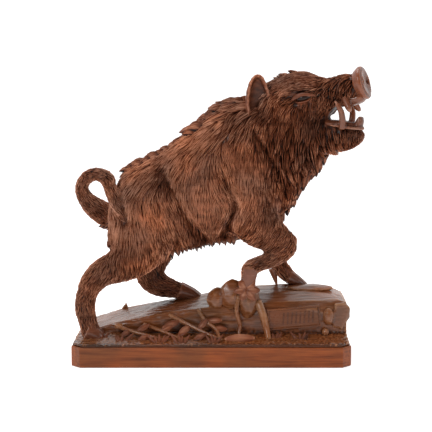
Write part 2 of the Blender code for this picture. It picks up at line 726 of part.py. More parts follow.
def plinth(place):
    bm = canted_board(PLINTH_LENGTH, PLINTH_DEPTH, 0.0, PLINTH_THICKNESS, PLINTH_CANT)
    flat = [e for e in bm.edges if abs(e.verts[0].co.z - e.verts[1].co.z) < PLINTH_ARRIS]
    bmesh.ops.bevel(bm, geom=flat, offset=PLINTH_ARRIS, affect="EDGES", segments=1, profile=0.5, material=-1)
    board = object_from(bm, "plinth", place)
    board.data.materials.append(wood("oiled_walnut"))
    return board


def ledge_row(share):
    """The crest, rim and foot of the ledge at one place along it, between the given rows."""
    for low, high in zip(LEDGE, LEDGE[1:]):
        if share <= high[0]:
            f = (share - low[0]) / (high[0] - low[0])
            return [a + (b - a) * f for a, b in zip(low[1:], high[1:])]
    return LEDGE[-1][1:]


def ledge_section(share, chance):
    """The outline of the ground across the block at one place along it, from front to back."""
    crest, rim, foot = ledge_row(share)
    half_depth = PLINTH_DEPTH / 2 - GROUND_MARGIN
    x = share * (PLINTH_LENGTH / 2 - GROUND_MARGIN)
    edge = GROUND_EDGE_HEIGHT / PART
    foot_y = CREST_DEPTH - foot
    front = -half_depth / PART
    foot_z = edge + min(FOOT_HEIGHT, crest)
    middle = [
        ((foot_y + front) / 2, (edge + foot_z) / 2),
        (foot_y, foot_z),
        (foot_y + foot * BEVEL_REACH, edge + crest * BEVEL_HEIGHT),
        (CREST_DEPTH, edge + crest),
        (0, edge + crest + (rim - crest) * TOP_RISE),
        (RIM_DEPTH, edge + rim),
        (BACK_FOOT_DEPTH, edge + rim * BACK_FOOT_RISE),
    ]
    step = CHISEL_STEP * min(1.0, crest / LOW_GROUND)
    points = [Vector((x, -half_depth, GROUND_TOP)), Vector((x, -half_depth, GROUND_TOP + GROUND_EDGE_HEIGHT))]
    for y, z in middle:
        y += chance.uniform(-step, step)
        z += chance.uniform(-step, step) * CHISEL_RISE
        points.append(Vector((x, y * PART, GROUND_TOP + z * PART)))
    points.append(Vector((x, half_depth, GROUND_TOP + GROUND_EDGE_HEIGHT)))
    points.append(Vector((x, half_depth, GROUND_TOP)))
    return points


def ledge(place):
    """The ground and the rocky ledge that rises to the right, with the board's canted corners."""
    chance = random.Random(CHISEL_SEED)
    bm = bmesh.new()
    rings = []
    for row in LEDGE:
        rings.append([bm.verts.new(point) for point in ledge_section(row[0], chance)])
    for low, high in zip(rings, rings[1:]):
        for k in range(len(low)):
            nxt = (k + 1) % len(low)
            bm.faces.new((low[k], low[nxt], high[nxt], high[k]))
    bm.faces.new(reversed(rings[0]))
    bm.faces.new(rings[-1])
    bmesh.ops.recalc_face_normals(bm, faces=bm.faces)
    bmesh.ops.triangulate(bm, faces=bm.faces)
    reach = (PLINTH_LENGTH / 2 - GROUND_MARGIN, PLINTH_DEPTH / 2 - GROUND_MARGIN)
    for sign_x in (-1, 1):
        for sign_y in (-1, 1):
            on_cant = Vector((sign_x * (reach[0] - PLINTH_CANT), sign_y * reach[1], 0))
            cut_off(bm, on_cant, Vector((sign_x, sign_y, 0)))
    return object_from(bm, "ledge", place)


def stones(place):
    """Rough stones: each a ball of twenty or eighty flat faces, chiselled unevenly."""
    chance = random.Random(CHISEL_SEED)
    made = []
    for centre, halves in STONES:
        bm = bmesh.new()
        bmesh.ops.create_icosphere(bm, subdivisions=2 if max(halves) > LARGE_STONE else 1, radius=1.0)
        for v in bm.verts:
            v.co *= chance.uniform(*STONE_UNEVENNESS)
        bmesh.ops.scale(bm, vec=[h * PART for h in halves], verts=bm.verts)
        bmesh.ops.translate(bm, vec=figure_point(*centre), verts=bm.verts)
        made.append(object_from(bm, "stone", place))
    for corners in (END_BLOCK, RIM_CHIP):
        bm = bmesh.new()
        for corner in corners:
            bm.verts.new(figure_point(*corner))
        bmesh.ops.convex_hull(bm, input=bm.verts)
        made.append(object_from(bm, "block", place))
    return made


def add_leaf(bm, root, tip, width, up):
    """A pointed leaf, thick at its rib, with its root and its underside in the ground."""
    way = tip - root
    side = way.cross(up).normalized() * width / 2
    rise = side.cross(way).normalized() * width
    if rise.dot(up) < 0:
        rise = -rise
    middle = root + way * LEAF_BROADEST
    ends = [bm.verts.new(root), bm.verts.new(tip)]
    offsets = (side, rise * LEAF_RIB, -side, -rise * LEAF_ROOTED)
    around = [bm.verts.new(middle + offset) for offset in offsets]
    for k in range(4):
        bm.faces.new((ends[0], around[k], around[(k + 1) % 4]))
        bm.faces.new((ends[1], around[(k + 1) % 4], around[k]))


def plants(place):
    """Roots and stems over the face of the ledge, their leaves, and grass in front of it."""
    made = []
    for points, first, last in STEMS:
        rows = []
        for i, (x, y, z) in enumerate(points):
            radius = first + (last - first) * i / (len(points) - 1)
            rows.append((x, y, z, radius, radius))
        bm = bmesh.new()
        add_loft(bm, rows, Vector((1, 0, 0)), sides=6)
        made.append(object_from(bm, "stem", place))
    chance = random.Random(CHISEL_SEED)
    for root, tip, width in LEAVES:
        base = figure_point(*[c + chance.uniform(-LEAF_SCATTER, LEAF_SCATTER) for c in root])
        bm = bmesh.new()
        add_leaf(bm, base, figure_point(*tip), width * PART, OUT_OF_FACE)
        made.append(object_from(bm, "leaf", place))
    for x, y, blades in TUFTS:
        for i in range(blades):
            lean = (i - (blades - 1) / 2) * BLADE_SPREAD + chance.uniform(-BLADE_STRAY, BLADE_STRAY)
            length = BLADE_LENGTH * chance.uniform(*BLADE_VARIATION)
            root = figure_point(x + lean * BLADE_FOOT_SPREAD, y, BLADE_FOOT_HEIGHT)
            tip_height = BLADE_TIP_HEIGHT + BLADE_RISE * length
            tip = figure_point(x + lean * length, y + BLADE_REACH * length, tip_height)
            bm = bmesh.new()
            add_leaf(bm, root, tip, BLADE_WIDTH * PART, OUT_OF_FACE)
            made.append(object_from(bm, "blade", place))
    return made


def panel_matrix():
    """The middle of the panel on the ledge's face: x along it, z up it, -y out of it."""
    crest, _, foot = ledge_row(PANEL_PLACE)
    x = PANEL_PLACE * (PLINTH_LENGTH / 2 - GROUND_MARGIN)
    z = GROUND_TOP + GROUND_EDGE_HEIGHT + crest * PART * PANEL_RISE
    middle = Matrix.Translation((x, (CREST_DEPTH - foot * PANEL_FORWARD) * PART, z))
    lean = math.atan2(foot * BEVEL_REACH, crest * BEVEL_HEIGHT - FOOT_HEIGHT)
    return middle @ Matrix.Rotation(math.radians(-PANEL_TURN_DEG), 4, "Y") @ Matrix.Rotation(-lean, 4, "X")


def box(size, centre, matrix, name, place):
    bm = bmesh.new()
    bmesh.ops.create_cube(bm, size=1.0)
    bmesh.ops.scale(bm, vec=size, verts=bm.verts)
    bmesh.ops.translate(bm, vec=centre, verts=bm.verts)
    bmesh.ops.transform(bm, matrix=matrix, verts=bm.verts)
    return object_from(bm, name, place)


def panel(place):
    """The panel's block, the cutter for its sunk field, and the strokes that stand in the field."""
    at = panel_matrix()
    size = (PANEL_LENGTH, PANEL_PROUD + PANEL_ROOTED, PANEL_HEIGHT)
    block = box(size, (0, (PANEL_ROOTED - PANEL_PROUD) / 2, 0), at, "panel", place)
    field_length = PANEL_LENGTH - 2 * PANEL_BORDER
    field_height = PANEL_HEIGHT - 2 * PANEL_BORDER
    floor = PANEL_SINK - PANEL_PROUD
    cutter = box((field_length, 2 * PANEL_SINK, field_height), (0, floor - PANEL_SINK, 0), at, "panel_cutter", place)
    strokes = []
    count = int((field_length - 2 * STROKE_MARGIN) / STROKE_PITCH)
    length = field_height - 2 * STROKE_MARGIN
    for i in range(count):
        turn = math.radians(STROKE_SLANTS_DEG[i % len(STROKE_SLANTS_DEG)])
        shift = Matrix.Translation(((i - (count - 1) / 2) * STROKE_PITCH, floor, 0))
        stroke_at = at @ shift @ Matrix.Rotation(turn, 4, "Y")
        strokes.append(box((STROKE_WIDTH, 2 * STROKE_RELIEF, length), (0, 0, 0), stroke_at, "stroke", place))
    return block, cutter, strokes


def boolean(base, operation, other):
    step = base.modifiers.new(operation.lower(), "BOOLEAN")
    step.operation = operation
    step.solver = "MANIFOLD"
    step.object = other


def part_pinches(bm):
    """Draws back the points where two locks meet at a point or along an edge without joining."""
    bm.normal_update()
    places = {}
    for v in bm.verts:
        places.setdefault(tuple(round(c / PINCH) for c in v.co), []).append(v)
    for met in places.values():
        if len(met) > 1:
            for v in met:
                v.co -= v.normal * PINCH_DRAWN_BACK


def keep_main_body(mesh):
    """Removes loose crumbs and sealed pockets, such as those between crossing leaves."""
    bm = bmesh.new()
    bm.from_mesh(mesh)
    unseen = set(bm.verts)
    bodies = []
    while unseen:
        body = [unseen.pop()]
        for vert in body:
            for edge in vert.link_edges:
                other = edge.other_vert(vert)
                if other in unseen:
                    unseen.remove(other)
                    body.append(other)
        bodies.append(body)
    bodies.sort(key=len)
    for body in bodies[:-1]:
        bmesh.ops.delete(bm, geom=body, context="VERTS")
    part_pinches(bm)
    bm.to_mesh(mesh)
    bm.free()


def trim_feet(figure):
    """Cuts the feet off flat inside the ground, clear of its underside."""
    bm = bmesh.new()
    bm.from_mesh(figure.data)
    cut_off(bm, Vector((0, 0, GROUND_TOP + GROUND_EDGE_HEIGHT / 4)), Vector((0, 0, -1)))
    bmesh.ops.recalc_face_normals(bm, faces=bm.faces)
    bm.to_mesh(figure.data)
    bm.free()


def main():
    clear_scene()
    work = collection("workshop")
    work.hide_render = True
    boar = collection("carved_boar_figure")
    plinth(boar)
    figure = carved_figure(work)
    trim_feet(figure)
    rock = ledge(work)
    block, field, strokes = panel(work)
    for part in [block, *stones(work), *plants(work), figure]:
        boolean(rock, "UNION", part)
    for cutter in [field, *head_hollows(work)]:
        boolean(rock, "DIFFERENCE", cutter)
    for stroke in strokes:
        boolean(rock, "UNION", stroke)
    whole = evaluated_copy(rock, "boar_and_rocks", boar)
    keep_main_body(whole.data)
    whole.data.materials.clear()
    whole.data.materials.append(wood("stained_walnut"))
    for helper in list(work.objects):
        bpy.data.objects.remove(helper, do_unlink=True)


main()
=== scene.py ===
# %% [markdown]
# A wild boar carved from one block of walnut, striding over a rocky ledge, on a sawn plinth.
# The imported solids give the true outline, and this script gives the surface: the hair cut
# with small gouges, the crisp snout, tusks and hooves, the chiselled rock with its plants,
# and the stained and varnished wood. Lengths are in millimetres and heights count from the
# top of the plinth, because that is how a carver would take them off the block.

# %% The frame, and the carver's units
import math
import random

import bmesh
import bpy
import numpy as np
from mathutils import Matrix, Vector, noise
from mathutils.bvhtree import BVHTree


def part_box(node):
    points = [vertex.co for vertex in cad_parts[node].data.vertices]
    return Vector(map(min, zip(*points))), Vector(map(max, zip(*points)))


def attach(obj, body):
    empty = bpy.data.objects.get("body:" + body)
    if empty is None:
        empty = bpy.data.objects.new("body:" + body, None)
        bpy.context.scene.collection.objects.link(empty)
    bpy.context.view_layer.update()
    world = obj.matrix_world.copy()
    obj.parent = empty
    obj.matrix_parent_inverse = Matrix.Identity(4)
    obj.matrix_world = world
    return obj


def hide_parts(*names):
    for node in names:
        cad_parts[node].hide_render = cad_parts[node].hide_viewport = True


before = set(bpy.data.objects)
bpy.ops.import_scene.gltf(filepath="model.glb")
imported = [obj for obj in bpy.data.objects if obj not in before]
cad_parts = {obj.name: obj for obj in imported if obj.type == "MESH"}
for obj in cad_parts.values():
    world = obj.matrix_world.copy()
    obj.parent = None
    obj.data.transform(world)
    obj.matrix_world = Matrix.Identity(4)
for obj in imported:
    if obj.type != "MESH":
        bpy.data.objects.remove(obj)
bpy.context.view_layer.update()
MM = 0.001
PLINTH_LOW, PLINTH_HIGH = (Vector(corner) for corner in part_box("plinth"))
GLUE_LINE = 0.3 * MM
GROUND = PLINTH_HIGH.z + GLUE_LINE
print("plinth", [round(v, 4) for v in PLINTH_HIGH - PLINTH_LOW], "ground at", round(GROUND, 4))


def place(x, y, z):
    """A point in metres, from millimetres along, across and above the top of the plinth."""
    return Vector((x * MM, y * MM, GROUND + z * MM))


# %% [markdown]
# The camera stands about a metre in front and a little above, as for a catalogue photograph
# of an ornament. Its place was worked out from the plinth's front and rear edges, which show
# how fast things shrink with depth. It comes first, so that each piece can be looked at as it
# is made.

# %% Camera
CAMERA_PLACE = (0.0044, -1.039, 0.2567)
CAMERA_DOWN_DEG = 6.72
LENS_MM = 90.5
SENSOR_MM = 36

camera_data = bpy.data.cameras.new("camera")
camera_data.lens = LENS_MM
camera_data.sensor_width = SENSOR_MM
camera = bpy.data.objects.new("camera", camera_data)
camera.location = CAMERA_PLACE
camera.rotation_euler = (math.radians(90 - CAMERA_DOWN_DEG), 0, 0)
bpy.context.scene.collection.objects.link(camera)
bpy.context.scene.camera = camera

# %% [markdown]
# The body is drawn as a few masses, each a row of ovals along a path: x, y, z of the middle,
# then half the height and half the width of the oval. Ovals are quick to correct against a
# photograph from the side, and masses that overlap join into one skin later.

# %% The masses of the body
TORSO = [
    (-99, 0, 102, 12, 9), (-95, 0, 108, 26, 18), (-87, 0, 113.5, 37, 25), (-75, 0, 118, 46, 30),
    (-60, 0, 123, 49.5, 33), (-45, 0, 129.5, 50, 35), (-30, 0, 136.5, 52.5, 36), (-15, 0, 143.5, 56.5, 37),
    (0, 0, 151.5, 60.5, 38), (15, 0, 156.5, 64, 39), (30, -1, 160.5, 64.5, 38), (45, -2, 165.5, 59, 35),
    (60, -3, 172.5, 48, 30), (70, -4, 177, 36, 24), (77, -4, 179, 22, 15),
]
RUFF = [
    (14, -1, 158, 52, 32), (32, -2, 167, 57, 36), (48, -4, 176, 56, 36), (66, -8, 185, 45, 34),
    (84, -14, 192, 33, 29), (99, -21, 199, 21, 21), (107, -25, 203, 11, 12),
]
NEAR_HIND_LEG = [
    (-58, -14, 128, 36, 19), (-63, -20, 106, 31, 17), (-71, -26, 86, 25, 15), (-85, -30, 73, 17, 12),
    (-99, -31, 67, 13.5, 10.5), (-110, -31, 58, 12, 9.5), (-117, -31, 45, 10, 8.5), (-119, -31, 32, 10, 8),
    (-117.5, -31, 22, 9.2, 8), (-115, -31, 12, 9, 8), (-112, -31, 4, 10, 8.5), (-111, -31, -1, 8, 7),
]
FAR_HIND_LEG = [
    (-56, 14, 126, 34, 19), (-57, 20, 100, 26, 16), (-57, 24, 80, 19, 13), (-60, 26, 65, 15.5, 10.5),
    (-61, 26, 52, 14, 9.5), (-52, 26, 43.5, 12.5, 9), (-39, 26, 39, 9.5, 8.5), (-25, 26, 35, 7, 8.5),
    (-13, 26, 31.5, 3.5, 6.5),
]
NEAR_FORELEG = [
    (36, -17, 142, 34, 20), (40, -22, 120, 25, 18), (50, -27, 106, 19.5, 15), (60, -29, 98, 15.5, 12),
    (69, -30, 92.5, 12.5, 10.5), (66, -30, 85, 10.5, 9.5), (55, -28, 77, 8.2, 8), (45, -26, 72.5, 7.6, 7.5),
    (37.5, -24, 68, 8.2, 7.5), (35.5, -23, 61, 7.2, 7.5), (35, -22, 50, 7.2, 7.5),
]
FAR_FORELEG = [
    (48, 14, 130, 26, 19), (54, 19, 106, 17, 15), (59, 22, 86, 11, 10), (64, 24, 70, 8.8, 8.5),
    (71, 25, 58, 8.2, 8), (81, 26, 49, 6.2, 8.5), (92, 26, 43.5, 2.8, 7),
]
TAIL = [
    (-88, 4, 108, 9, 9), (-101, 3, 115.5, 11.5, 10), (-112, 1, 123, 10.5, 9), (-120.5, -1, 132, 8, 7.6),
    (-124, -4, 142, 6.4, 6.8), (-119, -7, 152, 6.4, 6.8), (-109, -10, 156, 6.4, 6.8),
    (-99, -14, 152, 7.2, 6.8), (-93.5, -19, 141.5, 7.4, 6.6), (-88, -24, 130, 7, 6),
    (-80.5, -27.5, 118, 3.8, 3.8),
]

# %% [markdown]
# The head has axes of its own, s along the snout, t to the far side and v up, because it is
# raised and turned to the viewer. In those axes it is symmetrical, so one side is drawn and
# used twice.

# %% The masses of the head, in its own axes
HEAD_CENTRE = (75, -12, 222)
HEAD_YAW_DEG = 26.6
HEAD_PITCH_DEG = 15.4
SKULL = [
    (-24, 0, -7, 22, 18), (-14, 0, -4, 29, 25), (0, 0, -1, 29.5, 27), (14, 0, -0.5, 28.5, 25.5),
    (26, 0, -1.5, 24.5, 21), (36, 0, -1.5, 18.5, 16.5), (45, 0, -1, 14.5, 13.5), (56, 0, -0.5, 14, 12.5),
    (65, 0, -1.5, 12.5, 11.5), (71, 0, -0.5, 11.5, 11.5),
]
JAW = [
    (6, 0, -24, 22, 20), (20, 0, -33, 17.5, 17), (34, 0, -39, 14.5, 14), (47, 0, -43, 11.5, 11.5),
    (55, 0, -44, 8.8, 10), (61.5, 0, -43, 4.8, 7),
]
SNOUT_DISC = [(67, 0, 0.5, 12, 11), (71, 0, 0.5, 14.6, 13), (73.5, 0, 0.5, 15.6, 14), (76, 0, 0.5, 14.6, 13)]
SNOUT_DISC_LEAN = 0.23


def head_axes():
    """The directions along the snout, to the far side, and up through the skull."""
    yaw = math.radians(HEAD_YAW_DEG)
    pitch = math.radians(HEAD_PITCH_DEG)
    along = Vector((math.cos(pitch) * math.cos(yaw), -math.cos(pitch) * math.sin(yaw), math.sin(pitch)))
    across = Vector((0, 0, 1)).cross(along).normalized()
    return along, across, along.cross(across)


HEAD_ALONG, HEAD_ACROSS, HEAD_UP = head_axes()
ROW_STEPS = 3


def head_rows(rows, side=1, lean=0.0):
    """Rows in the head's axes as rows of the body. A side of -1 mirrors them."""
    found = []
    for s, t, v, half_height, half_width in rows:
        middle = Vector(HEAD_CENTRE) + HEAD_ALONG * (s + lean * v) + HEAD_ACROSS * (t * side) + HEAD_UP * v
        found.append((*middle, half_height, half_width))
    return found


def smooth_rows(rows, steps=ROW_STEPS):
    """More ovals between the given ones, on a smooth curve through them."""
    found = []
    for i in range(len(rows) - 1):
        four = [rows[max(i - 1, 0)], rows[i], rows[i + 1], rows[min(i + 2, len(rows) - 1)]]
        for step in range(steps):
            f = step / steps
            weights = (
                (-f + 2 * f**2 - f**3) / 2,
                (2 - 5 * f**2 + 3 * f**3) / 2,
                (f + 4 * f**2 - 3 * f**3) / 2,
                (f**3 - f**2) / 2,
            )
            found.append(tuple(sum(w * row[k] for w, row in zip(weights, four)) for k in range(5)))
    found.append(rows[-1])
    return found


# %% [markdown]
# A mass is made as a carver would draw it on the block: one oval after another, each bridged
# to the last. A circle with a stretched matrix gives the oval, so no point is placed by hand.

# %% Ovals bridged into a mass
OVAL_SIDES = 20


def ring_edges(ring):
    members = set(ring)
    found = []
    for vert in ring:
        for edge in vert.link_edges:
            if edge.other_vert(vert) in members and edge not in found:
                found.append(edge)
    return found


def add_mass(bm, rows, across=Vector((0, 1, 0)), sides=OVAL_SIDES, upright=False):
    """A closed tube of ovals in bm. Upright keeps every oval in a vertical plane."""
    centres = [place(x, y, z) for x, y, z, _, _ in rows]
    last = None
    for i, (_, _, _, half_height, half_width) in enumerate(rows):
        tangent = (centres[min(i + 1, len(rows) - 1)] - centres[max(i - 1, 0)]).normalized()
        side = (across - tangent * across.dot(tangent)).normalized()
        up = Vector((0, 0, 1)) if upright else side.cross(tangent)
        oval = Matrix((side * half_width * MM, up * half_height * MM, side.cross(up))).transposed().to_4x4()
        oval.translation = centres[i]
        is_end = i in (0, len(rows) - 1)
        made = bmesh.ops.create_circle(bm, cap_ends=is_end, segments=sides, radius=1.0, matrix=oval)
        edges = ring_edges(made["verts"])
        if last:
            bmesh.ops.bridge_loops(bm, edges=last + edges)
            edges = ring_edges(made["verts"])
        last = edges


def piece_from(bm, name, smooth=True):
    """A finished mesh as an object in the scene, its faces pointing out."""
    bmesh.ops.recalc_face_normals(bm, faces=bm.faces)
    mesh = bpy.data.meshes.new(name)
    bm.to_mesh(mesh)
    bm.free()
    if smooth:
        mesh.shade_smooth()
    piece = bpy.data.objects.new(name, mesh)
    bpy.context.scene.collection.objects.link(piece)
    return piece


def with_modifiers_applied(piece):
    """The piece again, with what its modifiers make as its own mesh."""
    name = piece.name
    bpy.context.view_layer.update()
    mesh = bpy.data.meshes.new_from_object(piece.evaluated_get(bpy.context.evaluated_depsgraph_get()))
    bpy.data.objects.remove(piece, do_unlink=True)
    made = bpy.data.objects.new(name, mesh)
    mesh.name = name
    bpy.context.scene.collection.objects.link(made)
    return made


def remeshed(piece, voxel_mm, eased):
    skin = piece.modifiers.new("one skin", "REMESH")
    skin.mode = "VOXEL"
    skin.voxel_size = voxel_mm * MM
    ease = piece.modifiers.new("eased", "SMOOTH")
    ease.factor = 0.5
    ease.iterations = eased
    made = with_modifiers_applied(piece)
    made.data.shade_smooth()
    return made


# %% [markdown]
# On the real figure the body was first brought to a smooth form, and the hair was cut into
# it last. The same order works here: the masses are joined by a voxel remesh into one skin,
# the creases between them are eased as a rasp would, and everything that follows sits on it.

# %% The smooth body
BODY_VOXEL_MM = 1.6

body_bm = bmesh.new()
add_mass(body_bm, smooth_rows(TORSO), upright=True)
for rows in (RUFF, NEAR_HIND_LEG, FAR_HIND_LEG, NEAR_FORELEG, FAR_FORELEG, TAIL):
    add_mass(body_bm, smooth_rows(rows))
for rows in (SKULL, JAW):
    add_mass(body_bm, smooth_rows(head_rows(rows)), HEAD_ACROSS)
skin = remeshed(piece_from(body_bm, "boar_skin"), BODY_VOXEL_MM, eased=6)
print("skin", len(skin.data.polygons), "faces")

# %% [markdown]
# Under the coat lie the forms that catch the light from a step away: the ribs, the haunch and
# the shoulder swell, and deep folds run between them. They are pressed into the skin before any
# hair is set. A fold is a path seen from the side, its half width and its depth, and a swelling
# is a place, a radius and a rise. The skin is also drawn in by half a hair, so that the coat
# ends at the outline.

# %% Folds, swellings and the sockets of the eyes
SKIN_INSET_MM = 1.2
FOLDS = [
    ([(-44, 160), (-34, 141), (-27, 125), (-17, 109), (-8, 99)], 4.5, 4.2),
    ([(10, 160), (18, 141), (24, 131), (19, 119), (13, 102)], 4.5, 4.6),
    ([(42, 199), (52, 181), (61, 169), (72, 155)], 4.0, 3.6),
    ([(-88, 150), (-84, 132), (-78, 116)], 3.5, 2.2),
]
SWELLINGS = [(-3, 138, 20, 3.0), (-62, 122, 26, 2.4), (38, 150, 20, 2.6), (-15, 180, 22, 1.2)]
SOCKET = (21.5, 1.2, 9.0, 4.6, 3.4)
FACE_RIDGES = [
    ([(6, 8), (15, 11), (24, 10), (32, 5.5), (38, 2)], 3.4, 2.2),
    ([(10, -4.5), (20, -6.5), (32, -3.5)], 2.2, 0.9),
]
SIDE_FADE_MM = 12
CHEEK_START_MM = 8
CHEEK_FADE_MM = 6
NECK_BEHIND_MM = -5


def distance_to_path(points, path):
    """How far points of a plane lie from a line with corners."""
    best = np.full(len(points), np.inf)
    for start, end in zip(np.array(path[:-1], float), np.array(path[1:], float)):
        along = end - start
        share = np.clip(((points - start) @ along) / (along @ along), 0, 1)
        best = np.minimum(best, np.linalg.norm(points - start - share[:, None] * along, axis=1))
    return best


HEAD_MIDDLE = np.array(place(*HEAD_CENTRE))


def in_figure_mm(points):
    """Metres as millimetres along, across and above the plinth's top."""
    shifted = np.array(points, dtype=float)
    shifted[:, 2] -= GROUND
    return shifted / MM


def in_head(points):
    """Places in the head's own axes, in millimetres."""
    shifted = (points - HEAD_MIDDLE) / MM
    return shifted @ np.array([HEAD_ALONG, HEAD_ACROSS, HEAD_UP]).T


def swell_of(points):
    """How far each point of the skin is raised or sunk, in millimetres."""
    at = in_figure_mm(points)
    from_side = at[:, [0, 2]]
    side = np.clip(np.abs(at[:, 1]) / SIDE_FADE_MM, 0, 1)
    raised = np.full(len(at), -SKIN_INSET_MM)
    for fold, width, depth in FOLDS:
        raised -= side * depth * np.exp(-((distance_to_path(from_side, fold) / width) ** 2))
    for x, z, radius, rise in SWELLINGS:
        raised += side * rise * np.exp(-((from_side - (x, z)) ** 2).sum(axis=1) / radius**2)
    face = in_head(points)
    on_side = np.clip((np.abs(face[:, 1]) - CHEEK_START_MM) / CHEEK_FADE_MM, 0, 1)
    on_side *= face[:, 0] > NECK_BEHIND_MM
    s, v, reach_s, reach_v, depth = SOCKET
    socket = np.exp(-(((face[:, 0] - s) / reach_s) ** 2) - ((face[:, 2] - v) / reach_v) ** 2)
    raised -= on_side * depth * socket
    for ridge, width, rise in FACE_RIDGES:
        gap = distance_to_path(face[:, [0, 2]], ridge)
        raised += on_side * rise * np.exp(-((gap / width) ** 2))
    return raised


def vertex_array(mesh, what):
    values = np.empty(len(mesh.vertices) * 3)
    mesh.vertices.foreach_get(what, values)
    return values.reshape(-1, 3)


def move_points(piece, points):
    piece.data.vertices.foreach_set("co", points.reshape(-1))
    piece.data.update()


unformed = vertex_array(skin.data, "co")
raised_mm = swell_of(unformed)
move_points(skin, unformed + vertex_array(skin.data, "normal") * (raised_mm * MM)[:, None])
print("skin moved by", round(float(raised_mm.min()), 1), "to", round(float(raised_mm.max()), 1), "mm")

# %% [markdown]
# Hair lies differently on each part of a boar: back along the crest, down the ribs, forward
# from the elbow, round the tail. The table says how it lies where it was judged on the photo:
# x, z, the way the tips point (x, z), the length of a hair, how far its tip stands away from
# the skin, and its width. In between, the nearest entries are blended.

# %% How the coat lies
COAT = np.array([
    (40, 233, -0.95, -0.25, 18, 0.24, 2.2), (12, 227, -0.93, -0.36, 20, 0.28, 2.3),
    (-20, 207, -0.88, -0.48, 20, 0.26, 2.3), (-50, 184, -0.88, -0.45, 15, 0.14, 1.8),
    (-75, 171, -0.92, -0.38, 14, 0.14, 1.6), (-90, 152, -0.70, -0.70, 12, 0.08, 1.6),
    (25, 206, -0.45, -0.88, 16, 0.12, 1.6), (-5, 193, -0.65, -0.75, 15, 0.09, 1.4),
    (-35, 171, -0.50, -0.86, 14, 0.06, 1.2), (-65, 153, -0.50, -0.86, 14, 0.05, 1.2),
    (-85, 139, -0.25, -0.96, 13, 0.05, 1.2), (45, 196, -0.20, -0.97, 15, 0.10, 1.5),
    (30, 171, 0.00, -1.00, 14, 0.05, 1.2), (45, 151, 0.08, -1.00, 13, 0.05, 1.2),
    (12, 171, 0.30, -0.95, 15, 0.07, 1.25), (10, 146, 0.42, -0.90, 15, 0.07, 1.25),
    (30, 131, -0.35, -0.93, 12, 0.07, 1.4), (22, 111, -0.55, -0.83, 14, 0.12, 1.5),
    (50, 121, -0.25, -0.97, 10, 0.04, 1.15), (35, 101, -0.70, -0.70, 13, 0.16, 1.5),
    (62, 106, -0.50, -0.85, 7, 0.02, 1.1), (-15, 161, -0.15, -0.99, 15, 0.05, 1.2),
    (-15, 131, 0.05, -1.00, 14, 0.05, 1.2), (-20, 101, 0.25, -0.97, 14, 0.22, 1.6),
    (10, 99, 0.05, -1.00, 14, 0.22, 1.6), (-45, 131, 0.35, -0.94, 14, 0.12, 1.5),
    (-35, 96, 0.40, -0.92, 14, 0.20, 1.6), (-65, 126, 0.20, -0.98, 14, 0.05, 1.2),
    (-85, 111, 0.05, -1.00, 14, 0.05, 1.2), (-70, 91, 0.08, -1.00, 13, 0.07, 1.25),
    (-92, 91, -0.10, -1.00, 11, 0.12, 1.4), (-60, 73, 0.05, -1.00, 10, 0.12, 1.4),
    (-105, 66, -0.55, -0.80, 8, 0.06, 1.2), (-119, 38, -0.30, -0.95, 8, 0.14, 1.2),
    (-115, 14, -0.10, -1.00, 7, 0.06, 1.1), (-60, 49, 0.20, -0.97, 7, 0.10, 1.1),
    (-38, 39, 0.50, -0.86, 6, 0.06, 1.1), (60, 181, 0.05, -1.00, 21, 0.14, 2.2),
    (75, 161, 0.25, -0.96, 21, 0.24, 2.3), (95, 176, 0.22, -0.97, 21, 0.24, 2.3),
    (110, 186, 0.18, -0.98, 17, 0.22, 2.1), (122, 190, 0.05, -1.00, 9, 0.10, 1.4),
    (134, 200, 0.05, -1.00, 4, 0.03, 0.9), (72, 134, 0.20, -0.97, 16, 0.24, 2.1),
    (60, 216, -0.30, -0.95, 14, 0.08, 1.5), (75, 238, -0.95, -0.20, 7, 0.05, 1.1),
    (90, 245, -0.98, 0.05, 6, 0.05, 1.0), (85, 211, -0.15, -0.98, 12, 0.07, 1.35),
    (100, 221, -0.15, -0.98, 7, 0.03, 1.05), (112, 236, -0.25, -0.96, 10, 0.10, 1.7),
    (122, 240, -0.20, -0.97, 10, 0.14, 1.9), (122, 250, -0.70, -0.70, 6, 0.08, 1.2),
    (70, 86, -0.75, -0.65, 6, 0.03, 1.0), (45, 73, -0.90, -0.40, 6, 0.05, 1.0),
    (70, 61, 0.40, -0.90, 6, 0.05, 1.0),
])
LIMB_PATHS = [(TAIL, 0), (NEAR_HIND_LEG, 6), (FAR_HIND_LEG, 4), (NEAR_FORELEG, 5), (FAR_FORELEG, 3)]
LIMB_HAIR = (6.5, 0.06, 1.1)
LIMB_REACH = 1.2
LIMB_MARGIN_MM = 1.0
BLEND_SOFTNESS = 20.0
OUTWARD_TAKEN = 0.7
WEAK_FLOW = 0.25
WEAK_FLOW_PUSH = 0.5


